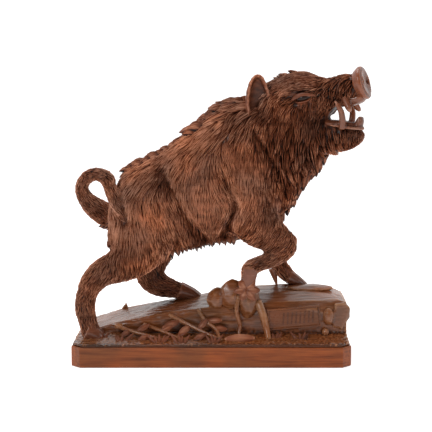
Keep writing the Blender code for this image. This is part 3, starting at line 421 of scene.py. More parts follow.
def coat_at(points):
    """The way the hair lies at each point, and its length, lift and width in millimetres."""
    at = in_figure_mm(points)
    gap = (at[:, None, 0] - COAT[None, :, 0]) ** 2 + (at[:, None, 2] - COAT[None, :, 1]) ** 2
    weight = 1.0 / (gap + BLEND_SOFTNESS) ** 2
    weight /= weight.sum(axis=1, keepdims=True)
    mixed = weight @ COAT[:, 2:]
    flow = np.stack([mixed[:, 0], np.zeros(len(at)), mixed[:, 1]], axis=1)
    size = mixed[:, 2:]
    for rows, first in LIMB_PATHS:
        path = np.array(smooth_rows(rows))
        tangent = np.gradient(path[:, :3], axis=0)
        tangent /= np.linalg.norm(tangent, axis=1, keepdims=True)
        path, tangent = path[ROW_STEPS * first :], tangent[ROW_STEPS * first :]
        distance = np.linalg.norm(at[:, None, :] - path[None, :, :3], axis=2)
        nearest = distance.argmin(axis=1)
        reach = path[nearest, 3:].max(axis=1)
        near = distance[np.arange(len(at)), nearest] < reach * LIMB_REACH + LIMB_MARGIN_MM
        flow[near] = tangent[nearest[near]]
        size[near] = LIMB_HAIR
    flow /= np.linalg.norm(flow, axis=1, keepdims=True)
    return flow, size


def laid_on_skin(flow, normals):
    """The flow turned into the surface, so that no hair points into the wood."""
    inward = (flow * normals).sum(axis=1, keepdims=True)
    laid = flow - normals * np.where(inward < 0, inward, inward * OUTWARD_TAKEN)
    weak = np.linalg.norm(laid, axis=1) < WEAK_FLOW
    laid[weak] += np.cross(normals[weak], (0, 1, 0)) * WEAK_FLOW_PUSH
    return laid / np.linalg.norm(laid, axis=1, keepdims=True)


# %% [markdown]
# The skin itself is scored with shallow cuts that follow the hair, which shows on the face,
# the tail and the lower legs. Noise is given to every point and then spread along the hair's
# way only, from neighbour to neighbour. It stays rough across the hair and grows smooth along
# it, as the cuts of a veiner do. The same number later lightens the ridges in the material.

# %% Gouge lines in the skin
SCORE_DEPTH_MM = 0.42
SCORE_TURNS = 16
SCORE_OWN_SHARE = 0.35
SCORE_SHARPNESS = 6
SCORE_SEED = 11


def edge_array(mesh):
    ends = np.empty(len(mesh.edges) * 2, dtype=np.int64)
    mesh.edges.foreach_get("vertices", ends)
    return ends.reshape(-1, 2)


def spread_along(values, flow, points, ends, turns):
    """The values, mixed again and again with those of the neighbours that lie along the flow."""
    span = points[ends[:, 1]] - points[ends[:, 0]]
    span /= np.linalg.norm(span, axis=1, keepdims=True) + 1e-12
    mean_flow = flow[ends[:, 0]] + flow[ends[:, 1]]
    mean_flow /= np.linalg.norm(mean_flow, axis=1, keepdims=True) + 1e-12
    weight = np.abs((span * mean_flow).sum(axis=1)) ** SCORE_SHARPNESS + 1e-4
    count = len(points)
    total = np.bincount(ends[:, 0], weight, count) + np.bincount(ends[:, 1], weight, count)
    for _ in range(turns):
        brought = np.bincount(ends[:, 0], weight * values[ends[:, 1]], count)
        brought += np.bincount(ends[:, 1], weight * values[ends[:, 0]], count)
        values = SCORE_OWN_SHARE * values + (1 - SCORE_OWN_SHARE) * brought / total
    return values


def give_value(mesh, name, values):
    layer = mesh.attributes.new(name, "FLOAT", "POINT")
    layer.data.foreach_set("value", np.asarray(values, dtype=np.float32))


def spread_evenly(values):
    """The values as their rank from 0 to 1."""
    return values.argsort().argsort() / max(len(values) - 1, 1)


dice = np.random.default_rng(SCORE_SEED)
smooth_points = vertex_array(skin.data, "co")
smooth_normals = vertex_array(skin.data, "normal")
skin_flow, skin_size = coat_at(smooth_points)
skin_flow = laid_on_skin(skin_flow, smooth_normals)
skin_edges = edge_array(skin.data)
score = dice.standard_normal(len(smooth_points))
score = spread_evenly(spread_along(score, skin_flow, smooth_points, skin_edges, SCORE_TURNS))
skin_faces = [tuple(face.vertices) for face in skin.data.polygons]
smooth_tree = BVHTree.FromPolygons(smooth_points.tolist(), skin_faces)
print("scored skin with", len(skin_edges), "edges")

# %% [markdown]
# The coat is cut hair by hair. One hair is a three-sided gouge ridge, thick in the middle and
# drawn to a point. An Array modifier repeats it for a whole region, and each copy is then bent
# along its own path over the skin. Hairs of one lock lean towards each other, and the ruff and
# the belly stand free at their tips, which gives the ragged outline.

# %% One hair, and many
HAIR_RINGS = 5
HAIR_WEAR_AND_SHADE = (0.05, 0.55, 0.95, 1.0, 0.85)
HAIR_SHAPE = np.array([0.45, 1.0, 0.95, 0.65, 0.05])
HAIR_RISE = np.array([-1.2, 0.1, 0.4, 0.5, 0.35])
HAIR_THICK = 0.85
TRIANGLE_HALF = 0.866
TIP_ROOM = 1.1
ROOM_MM = 0.5
LOST_SKIN = 1.2
CELLS_AROUND = [(x, y, z) for x in (-1, 0, 1) for y in (-1, 0, 1) for z in (-1, 0, 1)]


def hair_template():
    """A three-sided bar of unit size, one ring for each step along it."""
    bm = bmesh.new()
    bmesh.ops.create_circle(bm, cap_ends=True, segments=3, radius=1.0)
    region = bm.faces[:]
    for _ in range(HAIR_RINGS - 1):
        made = bmesh.ops.extrude_face_region(bm, geom=region)["geom"]
        moved = [item for item in made if isinstance(item, bmesh.types.BMVert)]
        bmesh.ops.translate(bm, vec=(0, 0, 1), verts=moved)
        region = [item for item in made if isinstance(item, bmesh.types.BMFace)]
    ends = (0, HAIR_RINGS - 1)
    flat = [face for face in bm.faces if abs(face.normal.z) > 0.5]
    inner = [face for face in flat if round(face.calc_center_median().z) not in ends]
    bmesh.ops.delete(bm, geom=inner, context="FACES_ONLY")
    return piece_from(bm, "hair_template", smooth=False)


def follow_skin(roots, normals, flow, length, lift):
    """The path of each hair, a point for each ring, and the skin's normal along it."""
    steps = HAIR_RINGS - 1
    paths = np.empty((len(roots), HAIR_RINGS, 3))
    facing = np.empty_like(paths)
    paths[:, 0] = roots
    facing[:, 0] = normals
    at = roots.copy()
    way = flow.copy()
    for step in range(1, HAIR_RINGS):
        along = step / steps
        at = at + (way + facing[:, step - 1] * (lift * along)[:, None]) * (length / steps)[:, None]
        room = lift * length * along * TIP_ROOM + ROOM_MM * MM
        for i in range(len(at)):
            spot, normal, _, _ = smooth_tree.find_nearest(at[i])
            spot, normal = np.array(spot), np.array(normal)
            height = (at[i] - spot) @ normal
            kept = min(max(height, 0.0), room[i])
            if height < kept + LOST_SKIN * length[i]:
                at[i] = at[i] + normal * (kept - height)
            facing[i, step] = normal
        paths[:, step] = at
    return paths, facing


def thinned(points, spacing, seed):
    """The places of points that keep their own spacing from one another, taken at random."""
    cell = spacing.max()
    cells = {}
    kept = []
    for i in np.random.default_rng(seed).permutation(len(points)):
        p = points[i]
        key = tuple((p // cell).astype(int))
        near = (q for x, y, z in CELLS_AROUND for q in cells.get((key[0] + x, key[1] + y, key[2] + z), ()))
        if all((p[0] - q[0]) ** 2 + (p[1] - q[1]) ** 2 + (p[2] - q[2]) ** 2 >= spacing[i] ** 2 for q in near):
            cells.setdefault(key, []).append(p)
            kept.append(i)
    return np.array(kept)


def hairs_piece(name, paths, facing, width, tone, template):
    """One object of many hairs, each bent along its own path."""
    count = len(paths)
    source = bpy.data.objects.new(name, template.data.copy())
    bpy.context.scene.collection.objects.link(source)
    rows = source.modifiers.new("hairs", "ARRAY")
    rows.count = count
    rows.use_relative_offset = False
    rows.use_merge_vertices = False
    piece = with_modifiers_applied(source)
    unit = vertex_array(template.data, "co")
    ring = np.rint(unit[:, 2]).astype(int)
    way = np.gradient(paths, axis=1)
    way /= np.linalg.norm(way, axis=2, keepdims=True) + 1e-12
    up = facing - way * (facing * way).sum(axis=2, keepdims=True)
    up /= np.linalg.norm(up, axis=2, keepdims=True) + 1e-12
    side = np.cross(up, way)
    half = (width[:, None] / 2) * HAIR_SHAPE[None, :]
    rise = width[:, None] * HAIR_RISE[None, :] * 0.5
    centre = paths + up * rise[:, :, None]
    corner = centre[:, ring]
    corner = corner + side[:, ring] * (half[:, ring] * unit[None, :, 0] / TRIANGLE_HALF)[:, :, None]
    corner = corner + up[:, ring] * (half[:, ring] * unit[None, :, 1] * HAIR_THICK * 2)[:, :, None]
    piece.data.vertices.foreach_set("co", corner.reshape(-1))
    piece.data.update()
    # Painted shade: each hair's top edge runs from dark at the root to light near the tip, and its sides stay
    # dark. This is worn stain on the ridge and painted shade at the roots and in the grooves between hairs.
    worn = np.array(HAIR_WEAR_AND_SHADE)[ring]
    ridge = np.where(unit[:, 1] > 0.5, worn, 0.0)
    give_value(piece.data, "ridge", np.tile(ridge, count))
    give_value(piece.data, "tone", np.repeat(tone, len(unit)))
    piece.data.shade_flat()
    return piece


# %% [markdown]
# Each hair starts at a point of the skin, about its own width from the next, and none starts
# on the disc, in the mouth, on the lids or on the hooves. Then the hairs of one lock are drawn
# towards the hair in its middle, most where they are coarse. Hairs on the swellings are painted
# lighter and those in the folds darker, as painted light and shade, and those of the ruff stay dark.

# %% The roots of the hairs, and their paths
CLUMP_WIDTHS = 3.4
CLUMP_PULL = 0.80
FINE_PULL = 0.30
FINE_WIDTH_MM = 1.3
COARSE_WIDTH_MM = 2.0
LOCK_LIFT_RANGE = (0.3, 1.7)
ROOTS_PER_WIDTH = 1.0
FAR_SIDE_PLAINER = 1.25
FORM_LIGHT_AND_SHADE_SHARE = 0.16
TONE_RANGE = 0.55
TONE_LIFT = 0.32
LENGTH_RANGE = (0.75, 1.2)
WIDTH_RANGE = (0.7, 1.25)
WAY_SPREAD = 0.09
CLUMP_CURVE = 1.5
FAR_SIDE_MM = 4
DISC_BARE = (69, 20)
MOUTH_BARE = (22, -36, -10, 9.5)
EYE_BARE = (21.5, 2, 7, 5.5)
FOOT_BARE_MM = 8
RUFF_CORNER = (40, 120)
RUFF_FADE = (12, 15)
ROOT_SEED = 5
BLOCK = 2000

root_spacing = skin_size[:, 2] * ROOTS_PER_WIDTH * MM
root_spacing *= np.where(in_figure_mm(smooth_points)[:, 1] > FAR_SIDE_MM, FAR_SIDE_PLAINER, 1.0)
roots = thinned(smooth_points, root_spacing, ROOT_SEED)
s, t, v = in_head(smooth_points[roots]).T
on_disc = (s > DISC_BARE[0]) & (np.abs(v) < DISC_BARE[1])
in_mouth = (s > MOUTH_BARE[0]) & (v > MOUTH_BARE[1]) & (v < MOUTH_BARE[2]) & (np.abs(t) < MOUTH_BARE[3])
on_eye = (np.abs(s - EYE_BARE[0]) < EYE_BARE[2]) & (np.abs(v - EYE_BARE[1]) < EYE_BARE[3])
on_foot = in_figure_mm(smooth_points[roots])[:, 2] < FOOT_BARE_MM
roots = roots[~(on_disc | in_mouth | on_eye | on_foot)]

lengths = skin_size[roots, 0] * dice.uniform(*LENGTH_RANGE, len(roots)) * MM
lifts = skin_size[roots, 1] * dice.uniform(*LOCK_LIFT_RANGE, len(roots))
widths = skin_size[roots, 2] * dice.uniform(*WIDTH_RANGE, len(roots)) * MM
ways = skin_flow[roots] + dice.normal(0, WAY_SPREAD, (len(roots), 3))
ways = laid_on_skin(ways, smooth_normals[roots])
paths, facing = follow_skin(smooth_points[roots], smooth_normals[roots], ways, lengths, lifts)
print("hairs", len(roots))

lock_heads = thinned(paths[:, 0], skin_size[roots, 2] * CLUMP_WIDTHS * MM, ROOT_SEED + 1)
nearest_lock = np.empty(len(paths), dtype=int)
for start in range(0, len(paths), BLOCK):
    block = paths[start : start + BLOCK, 0]
    gap = np.linalg.norm(block[:, None, :] - paths[lock_heads, 0][None, :, :], axis=2)
    nearest_lock[start : start + BLOCK] = gap.argmin(axis=1)
lock_paths = paths[lock_heads][nearest_lock]
coarse = np.clip((skin_size[roots, 2] - FINE_WIDTH_MM) / (COARSE_WIDTH_MM - FINE_WIDTH_MM), 0, 1)
pull = FINE_PULL + (CLUMP_PULL - FINE_PULL) * coarse
pull = (np.linspace(0, 1, HAIR_RINGS)[None, :] ** CLUMP_CURVE * pull[:, None])[:, :, None]
paths = paths + (lock_paths - paths) * pull
lock_tone = dice.uniform(0, 1, len(lock_heads))[nearest_lock]
tones = 0.5 * lock_tone + 0.5 * dice.uniform(0, 1, len(paths))
rooted_at = in_figure_mm(paths[:, 0])
on_ruff = np.clip((rooted_at[:, [0, 2]] - RUFF_CORNER) / RUFF_FADE, 0, 1).prod(axis=1)
# Painted light and shade: hairs on the swellings are made lighter, and those in the folds and the eye sockets
# darker.
form_light_and_shade = (swell_of(paths[:, 0]) + SKIN_INSET_MM) * FORM_LIGHT_AND_SHADE_SHARE
tones += np.clip(form_light_and_shade, -TONE_RANGE, TONE_RANGE) + TONE_LIFT * (1 - on_ruff)

# %% [markdown]
# The crest, the chest and the fringes end in bold pointed locks that stand at the outline like
# the teeth of a saw. Each is a thick hair with finer ones lying on it, all run to one point.

# %% Bold locks at the outline
BRISTLE_ROWS = [
    ((44, 234), (-26, 203), 11, (-0.97, -0.06), 16), ((-30, 202), (-66, 178), 7, (-0.95, -0.28), 12),
    ((-70, 176), (-84, 162), 3, (-0.97, -0.08), 13), ((-42, 82), (24, 94), 13, (0.22, -0.97), 12),
    ((66, 128), (112, 180), 11, (0.24, -0.97), 14), ((118, 183), (130, 192), 3, (0.05, -0.99), 7),
    ((-99, 92), (-93, 82), 3, (-0.35, -0.93), 9), ((-86, 66), (-48, 78), 7, (0.12, -0.99), 10),
    ((-123, 48), (-126, 26), 3, (-0.62, -0.78), 9), ((26, 100), (44, 84), 5, (-0.55, -0.83), 10),
    ((84, 250), (62, 243), 4, (-0.90, 0.42), 8), ((126, 254), (134, 256), 2, (-0.80, 0.55), 6),
    ((-104, 112), (-98, 104), 2, (-0.9, -0.3), 7),
]
BRISTLE_SIDES = (-13, -5, 3, 10)
BRISTLE_REACH_MM = 14
BRISTLE_ROOTED = 0.35
BRISTLE_WIDTH = 0.36
BRISTLE_STRANDS = 8
BRISTLE_JITTER_MM = 3
BRISTLE_SWAY = 0.12
BRISTLE_SIZES = (0.75, 1.25)
CORE_SUNK = 0.15
STRAND_BACK = 0.30
STRAND_REACH = (0.92, 1.0)
STRAND_BOW = 0.32
STRAND_WIDTH = 0.30
STRAND_TONES = (0.4, 0.6)


def bold_locks():
    """Paths, facing, widths and tones of the hairs of every bold lock."""
    found = []
    share = np.linspace(0, 1, HAIR_RINGS)
    for (x0, z0), (x1, z1), count, (dx, dz), length in BRISTLE_ROWS:
        for i in range(count):
            for y in BRISTLE_SIDES:
                f = (i + dice.uniform(0.2, 0.8)) / count
                aside = dice.uniform(-BRISTLE_JITTER_MM, BRISTLE_JITTER_MM)
                aim = place(x0 + (x1 - x0) * f, y + aside, z0 + (z1 - z0) * f)
                root, normal, _, gap = smooth_tree.find_nearest(aim)
                if gap > BRISTLE_REACH_MM * MM:
                    continue
                way = Vector((dx, dice.uniform(-BRISTLE_SWAY, BRISTLE_SWAY), dz)).normalized()
                size = length * dice.uniform(*BRISTLE_SIZES) * MM
                outward = np.array((normal - way * normal.dot(way)).normalized())
                way = np.array(way)
                across = np.cross(outward, way)
                start = np.array(root) - way * size * BRISTLE_ROOTED
                broad = size * BRISTLE_WIDTH
                tone = dice.uniform(0, 1)
                core = start + way * (size * share)[:, None] - outward * (broad * CORE_SUNK)
                found.append((core, outward, broad, tone * 0.5))
                for strand in range(BRISTLE_STRANDS):
                    aside = (strand / (BRISTLE_STRANDS - 1) - 0.5) * broad
                    back = dice.uniform(0.0, STRAND_BACK) * size
                    fan = across * (aside * (1 - share**2))[:, None]
                    arch = broad * (STRAND_BOW - (aside / broad) ** 2) * np.sin(math.pi * share)
                    run = way * (back + (size * dice.uniform(*STRAND_REACH) - back) * share)[:, None]
                    strand_path = start + run + fan + outward * arch[:, None]
                    strand_tone = STRAND_TONES[0] * tone + dice.uniform(0, STRAND_TONES[1])
                    found.append((strand_path, outward, broad * STRAND_WIDTH, strand_tone))
    facing_all = np.array([np.tile(item[1], (HAIR_RINGS, 1)) for item in found])
    width_all, tone_all = (np.array([item[k] for item in found]) for k in (2, 3))
    return np.array([item[0] for item in found]), facing_all, width_all, tone_all


# %% [markdown]
# The hairs are shared out over a few pieces by where they grow, so that no mesh gets too heavy
# and each region can be picked on its own.

# %% The coat, region by region
FACE_START = (-6, -22, 62)
RUFF_START = (48, 108)
TAIL_START = (-97, 100)
LEG_TOP_MM = 66
MANE_FOOT_MM = 165

template = hair_template()
place_mm = in_figure_mm(paths[:, 0])
head_part = in_head(paths[:, 0])
x_mm, y_mm, z_mm = place_mm.T
is_face = (head_part[:, 0] > FACE_START[0]) & (head_part[:, 2] > FACE_START[1]) & (x_mm > FACE_START[2])
is_ruff = ~is_face & (x_mm > RUFF_START[0]) & (z_mm > RUFF_START[1])
is_tail = ~is_face & (x_mm < TAIL_START[0]) & (z_mm > TAIL_START[1])
is_leg = ~is_face & (z_mm < LEG_TOP_MM)
is_mane = ~(is_face | is_ruff | is_tail | is_leg) & (z_mm > MANE_FOOT_MM)
is_flank = ~(is_face | is_ruff | is_tail | is_leg | is_mane)
COAT_PIECES = {
    "face_hair": is_face,
    "ruff_hair": is_ruff,
    "tail_hair": is_tail,
    "leg_hair": is_leg,
    "mane_hair": is_mane,
    "near_flank_hair": is_flank & (y_mm < 0),
    "far_flank_hair": is_flank & (y_mm >= 0),
}
coat_pieces = []
for name, chosen in COAT_PIECES.items():
    piece = hairs_piece(name, paths[chosen], facing[chosen], widths[chosen], tones[chosen], template)
    coat_pieces.append(piece)
    print(name, int(chosen.sum()), "hairs", len(piece.data.polygons), "faces")

# %% The skin takes its gouge lines
SCORE_LEVEL = 0.62
SKIN_WEAR_AND_SHADE = 0.8
SKIN_TONE = 0.35

cut_mm = (score - SCORE_LEVEL) * SCORE_DEPTH_MM * 2
move_points(skin, smooth_points + smooth_normals * (cut_mm * MM)[:, None])
# Painted shade: the raised gouge lines are lighter and the cut ones darker. This is worn stain on the raised
# lines and painted shade in the cuts.
give_value(skin.data, "ridge", score * SKIN_WEAR_AND_SHADE)
give_value(skin.data, "tone", np.full(len(score), SKIN_TONE))
print("gouge lines from", round(float(cut_mm.min()), 2), "to", round(float(cut_mm.max()), 2), "mm")

# %% [markdown]
# Varnish and a dark stain on walnut: the stain stays in the cuts and wears off the ridges, and
# painted shade darkens the cuts further. One node group makes the wood's grain, stretched along
# the board, and every material uses it.

# %% The grain of the wood, as a node group
PATCH_SCALE = 28.0


def add_node(tree, kind, inputs=(), **settings):
    """A shader node with its settings. Each input is a value, or a socket to link it from."""
    node = tree.nodes.new("ShaderNode" + kind)
    for name, value in settings.items():
        setattr(node, name, value)
    for name, value in dict(inputs).items():
        if isinstance(value, bpy.types.NodeSocket):
            tree.links.new(value, node.inputs[name])
        else:
            node.inputs[name].default_value = value
    return node


def grain_group():
    group = bpy.data.node_groups.new("walnut_grain", "ShaderNodeTree")
    for name, default in (("Across", 260.0), ("Along", 18.0)):
        socket = group.interface.new_socket(name=name, in_out="INPUT", socket_type="NodeSocketFloat")
        socket.default_value = default
    for name in ("Grain", "Patches"):
        group.interface.new_socket(name=name, in_out="OUTPUT", socket_type="NodeSocketFloat")
    inside = group.nodes.new("NodeGroupInput").outputs
    outside = group.nodes.new("NodeGroupOutput").inputs
    spot = add_node(group, "TexCoord").outputs["Object"]
    ways = {"X": inside["Along"], "Y": inside["Across"], "Z": inside["Across"]}
    stretch = add_node(group, "CombineXYZ", ways)
    scaled = add_node(group, "VectorMath", {0: spot, 1: stretch.outputs["Vector"]}, operation="MULTIPLY")
    stretched = {"Vector": scaled.outputs["Vector"], "Scale": 1.0, "Detail": 5.0, "Roughness": 0.65}
    lines = add_node(group, "TexNoise", stretched)
    patches = add_node(group, "TexNoise", {"Vector": spot, "Scale": PATCH_SCALE, "Detail": 3.0})
    group.links.new(lines.outputs["Fac"], outside["Grain"])
    group.links.new(patches.outputs["Fac"], outside["Patches"])
    return group


WALNUT_GRAIN = grain_group()
print("grain group with", len(WALNUT_GRAIN.nodes), "nodes")

# %% [markdown]
# Each wood is the same recipe with its own numbers. The grain, the piece's ridges and its own
# tone, which carry worn stain, random tone and painted light and shade, are added up and looked
# up in a row of colours, from the deepest cut to the most worn ridge. Large patches turn the
# colour warmer or cooler, as the stain took unevenly.

# %% Stained and varnished walnut
WEAR_AND_SHADE_SHARE = 0.62
TONE_SHARE = 0.30
TONE_LEVEL = 0.40
PATCH_TINTS = [(0.30, (0.72, 0.74, 0.82)), (0.70, (1.25, 1.0, 0.82))]
GLOSS_GRAIN = (0.3, 0.7)
GLOSS_SPREAD = (-0.06, 0.08)
BUMP_STRENGTH = 0.6
COAT_ROUGHNESS = 0.28


def ramp(tree, stops, value):
    """The colour that belongs to a value, from a row of stops."""
    node = add_node(tree, "ValToRGB", {"Fac": value})
    while len(node.color_ramp.elements) < len(stops):
        node.color_ramp.elements.new(0.5)
    for element, (position, colour) in zip(node.color_ramp.elements, stops):
        element.position = position
        element.color = (*colour, 1.0)
    return node.outputs["Color"]


def plus_share(tree, value, share, added):
    return add_node(tree, "Math", {0: value, 1: share, 2: added}, operation="MULTIPLY_ADD").outputs[0]


def varnished_walnut(
    name, stops, rough, bump_mm, attribute=True, across=260.0, along=18.0,
    coat=0.03, grain_share=0.35, specular=0.16,
):
    """Stained and varnished walnut. The stops run from the deepest cut to the most worn ridge."""
    material = bpy.data.materials.new(name)
    material.use_nodes = True
    tree = material.node_tree
    shader = tree.nodes["Principled BSDF"]
    grain = add_node(tree, "Group", node_tree=WALNUT_GRAIN)
    grain.inputs["Across"].default_value = across
    grain.inputs["Along"].default_value = along
    lines = grain.outputs["Grain"]
    tone = plus_share(tree, lines, grain_share, (1 - grain_share) * 0.5)
    if attribute:
        # The ridge and tone values bring in worn stain, random tone, and painted light and shade.
        for what, share in (("ridge", WEAR_AND_SHADE_SHARE), ("tone", TONE_SHARE)):
            own = add_node(tree, "Attribute", attribute_name=what).outputs["Fac"]
            tone = plus_share(tree, own, share, tone)
        tone = add_node(tree, "Math", {0: tone, 1: TONE_LEVEL}, operation="SUBTRACT").outputs[0]
    colour = ramp(tree, stops, tone)
    tint = ramp(tree, PATCH_TINTS, grain.outputs["Patches"])
    warmth = add_node(
        tree, "Mix", {"Factor": 1.0, "A": colour, "B": tint}, data_type="RGBA", blend_type="MULTIPLY"
    )
    worn_range = {"From Min": GLOSS_GRAIN[0], "From Max": GLOSS_GRAIN[1]}
    worn_range |= {"To Min": rough + GLOSS_SPREAD[0], "To Max": rough + GLOSS_SPREAD[1]}
    worn = add_node(tree, "MapRange", {"Value": lines, **worn_range})
    bump = add_node(tree, "Bump", {"Strength": BUMP_STRENGTH, "Distance": bump_mm * MM, "Height": lines})
    tree.links.new(warmth.outputs["Result"], shader.inputs["Base Color"])
    tree.links.new(worn.outputs["Result"], shader.inputs["Roughness"])
    tree.links.new(bump.outputs["Normal"], shader.inputs["Normal"])
    shader.inputs["Specular IOR Level"].default_value = specular
    shader.inputs["Coat Weight"].default_value = coat
    shader.inputs["Coat Roughness"].default_value = COAT_ROUGHNESS
    print(name, "with", len(tree.nodes), "nodes")
    return material


# %% The woods of this figure
COAT_STOPS = [
    (0.08, (0.0030, 0.0012, 0.0008)), (0.40, (0.024, 0.0080, 0.0042)),
    (0.70, (0.190, 0.064, 0.031)), (1.00, (0.60, 0.32, 0.20)),
]
coat_wood = varnished_walnut("walnut_coat", COAT_STOPS, 0.34, 0.12)
ROCK_STOPS = [
    (0.10, (0.016, 0.0055, 0.0025)), (0.35, (0.082, 0.027, 0.009)),
    (0.60, (0.185, 0.063, 0.020)), (0.90, (0.36, 0.18, 0.085)),
]
rock_wood = varnished_walnut(
    "walnut_rock", ROCK_STOPS, 0.26, 0.25, across=420.0, along=22.0, coat=0.12, specular=0.35
)
BARE_STOPS = [
    (0.10, (0.020, 0.007, 0.004)), (0.40, (0.080, 0.027, 0.014)),
    (0.70, (0.180, 0.064, 0.032)), (0.95, (0.32, 0.155, 0.09)),
]
bare_wood = varnished_walnut(
    "walnut_polished", BARE_STOPS, 0.22, 0.10, across=500.0, along=60.0, specular=0.35
)
DARK_STOPS = [(0.1, (0.004, 0.002, 0.0013)), (0.9, (0.020, 0.008, 0.005))]
dark_wood = varnished_walnut("walnut_dark", DARK_STOPS, 0.2, 0.05)
PLINTH_STOPS = [
    (0.25, (0.085, 0.022, 0.0065)), (0.50, (0.215, 0.060, 0.017)), (0.80, (0.31, 0.100, 0.030)),
]
plinth_wood = varnished_walnut(
    "walnut_board", PLINTH_STOPS, 0.33, 0.12, attribute=False, across=520.0, along=22.0, grain_share=1.0
)

# %% [markdown]
# Pieces without hair are lightened on their edges and darkened in their cuts too, as worn stain
# and painted shade. How far a point stands out from its neighbours tells a ridge from a cut, so
# every such piece gets that number on its points.

# %% Ridges and cuts on the other pieces
RIDGE_GAIN = 3.0
RIDGE_TURNS = 2


def mark_ridges(piece, gain=1.0):
    mesh = piece.data
    points = vertex_array(mesh, "co")
    normals = vertex_array(mesh, "normal")
    ends = edge_array(mesh)
    count = len(points)
    links_of = np.bincount(ends.reshape(-1), minlength=count)
    around = np.zeros_like(points)
    for k in range(3):
        around[:, k] = np.bincount(ends[:, 0], points[ends[:, 1], k], count)
        around[:, k] += np.bincount(ends[:, 1], points[ends[:, 0], k], count)
    around /= np.maximum(links_of, 1)[:, None]
    span = np.linalg.norm(points[ends[:, 1]] - points[ends[:, 0]], axis=1).mean()
    stands_out = ((points - around) * normals).sum(axis=1) / span
    for _ in range(RIDGE_TURNS):
        brought = np.bincount(ends[:, 0], stands_out[ends[:, 1]], count)
        brought += np.bincount(ends[:, 1], stands_out[ends[:, 0]], count)
        stands_out = 0.5 * stands_out + 0.5 * brought / np.maximum(links_of, 1)
    # Lighter on ridges as worn stain, darker in cuts as painted shade.
    give_value(mesh, "ridge", np.clip(0.5 + stands_out * RIDGE_GAIN * gain, 0, 1))
    give_value(mesh, "tone", np.full(count, 0.5))


finished = []


def finish_piece(piece, material):
    """The piece takes its wood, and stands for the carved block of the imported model."""
    piece.data.materials.clear()
    piece.data.materials.append(material)
    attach(piece, "root")
    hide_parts("boar_and_rocks")
    finished.append(piece)
    print(piece.name, len(piece.data.polygons), "faces")
    return piece


coat_pieces.append(hairs_piece("bold_locks", *bold_locks(), template))
for piece in [skin, *coat_pieces]:
    finish_piece(piece, coat_wood)
bpy.data.objects.remove(template, do_unlink=True)

# %% [markdown]
# The snout ends in a smooth oval disc with two nostrils. It is the smoothest place on the
# carving, so it is its own mass, dished a little, with a raised rim.

# %% Snout disc
DISC_STEPS_MM = [(1.4, 0.5), (1.2, -1.2), (3.5, 0.6), (4.5, 0.9)]
NOSTRIL_PLACES = [(-6.3, 2.0), (6.3, 2.0)]
NOSTRIL_REACH_MM = 4.2
NOSTRIL_DEPTH_MM = 4.5
NOSTRIL_OVAL = 0.8
DISC_FRONT_MM = 71

disc_bm = bmesh.new()
add_mass(disc_bm, smooth_rows(head_rows(SNOUT_DISC, lean=SNOUT_DISC_LEAN), steps=2), HEAD_ACROSS, sides=40)
caps = [face for face in disc_bm.faces if len(face.verts) > 4]
end_face = max(caps, key=lambda face: face.calc_center_median().dot(HEAD_ALONG))
for thickness, depth in DISC_STEPS_MM:
    bmesh.ops.inset_region(disc_bm, faces=[end_face], thickness=thickness * MM, depth=depth * MM)
disc = remeshed(piece_from(disc_bm, "snout_disc"), 0.75, eased=1)
disc_points = vertex_array(disc.data, "co")
disc_places = in_head(disc_points)
for t, v in NOSTRIL_PLACES:
    away = np.hypot((disc_places[:, 1] - t) / NOSTRIL_OVAL, disc_places[:, 2] - v)
    sunk = np.clip(1 - away / NOSTRIL_REACH_MM, 0, 1) ** 0.8 * NOSTRIL_DEPTH_MM
    sunk *= disc_places[:, 0] > DISC_FRONT_MM
    disc_points -= sunk[:, None] * np.array(HEAD_ALONG) * MM
move_points(disc, disc_points)
mark_ridges(disc)
finish_piece(disc, bare_wood)

# %% [markdown]
# Tusks, teeth and tongue are carved from the same block, not let in, so they take the same
# wood. They are tapered masses along short curves.

# %% Tusks, teeth, tongue and lips
LOWER_TUSK = [
    (47.5, 10.5, -35, 3.6, 3.4), (50.5, 13, -28, 3.4, 3.1), (52, 15.5, -20, 3.0, 2.7),
    (50.5, 17, -13, 2.0, 1.8), (49, 17.4, -9.5, 0.7, 0.7),
]
UPPER_TUSK = [
    (56, 8, -9, 4.2, 3.6), (57.5, 10.5, -15, 3.6, 3.2), (59, 12.5, -20, 2.8, 2.6),
    (60, 13.5, -22.5, 1.2, 1.2),
]
INCISORS = [(53, 0, -39, 4, 7), (59, 0, -36, 4.2, 6.4), (62.5, 0, -31.5, 3.4, 5.4), (64, 0, -28.5, 1.6, 4.2)]
TONGUE = [
    (22, 0, -25, 4, 8), (34, 0, -28, 4.5, 9.5), (47, 0, -31.5, 4, 9), (56, 0, -35, 3, 7),
    (60, 0, -37, 1.2, 4),
]
LIP_FRONT = [(56, 0, -11, 6, 9), (63, 0, -12, 5.5, 9), (69, 0, -12, 4.5, 8), (72, 0, -11, 2, 5)]
LOWER_LIP = [
    (37, 11.5, -29.5, 0.7, 0.7), (44.5, 11.2, -32, 1.4, 1.4), (54, 9.6, -36.2, 1.5, 1.5),
    (60, 7, -38.5, 1.5, 1.5), (62.8, 0, -39.5, 1.6, 1.6),
]

mouth_bm = bmesh.new()
for rows in (INCISORS, TONGUE, LIP_FRONT):
    add_mass(mouth_bm, smooth_rows(head_rows(rows)), HEAD_ACROSS, sides=16)
for side in (-1, 1):
    for rows in (LOWER_TUSK, UPPER_TUSK, LOWER_LIP):
        add_mass(mouth_bm, smooth_rows(head_rows(rows, side)), HEAD_ALONG, sides=12)
mouth = remeshed(piece_from(mouth_bm, "tusks_and_mouth"), 0.8, eased=1)
mark_ridges(mouth)
finish_piece(mouth, bare_wood)

# %% [markdown]
# The ears are cupped leaves that open forward and a little to the side. Each is a sheet bent
# round its hollow, ring by ring, and then given thickness, so that the rim stays crisp and the
# hollow is dark. Fine cuts run over its back.

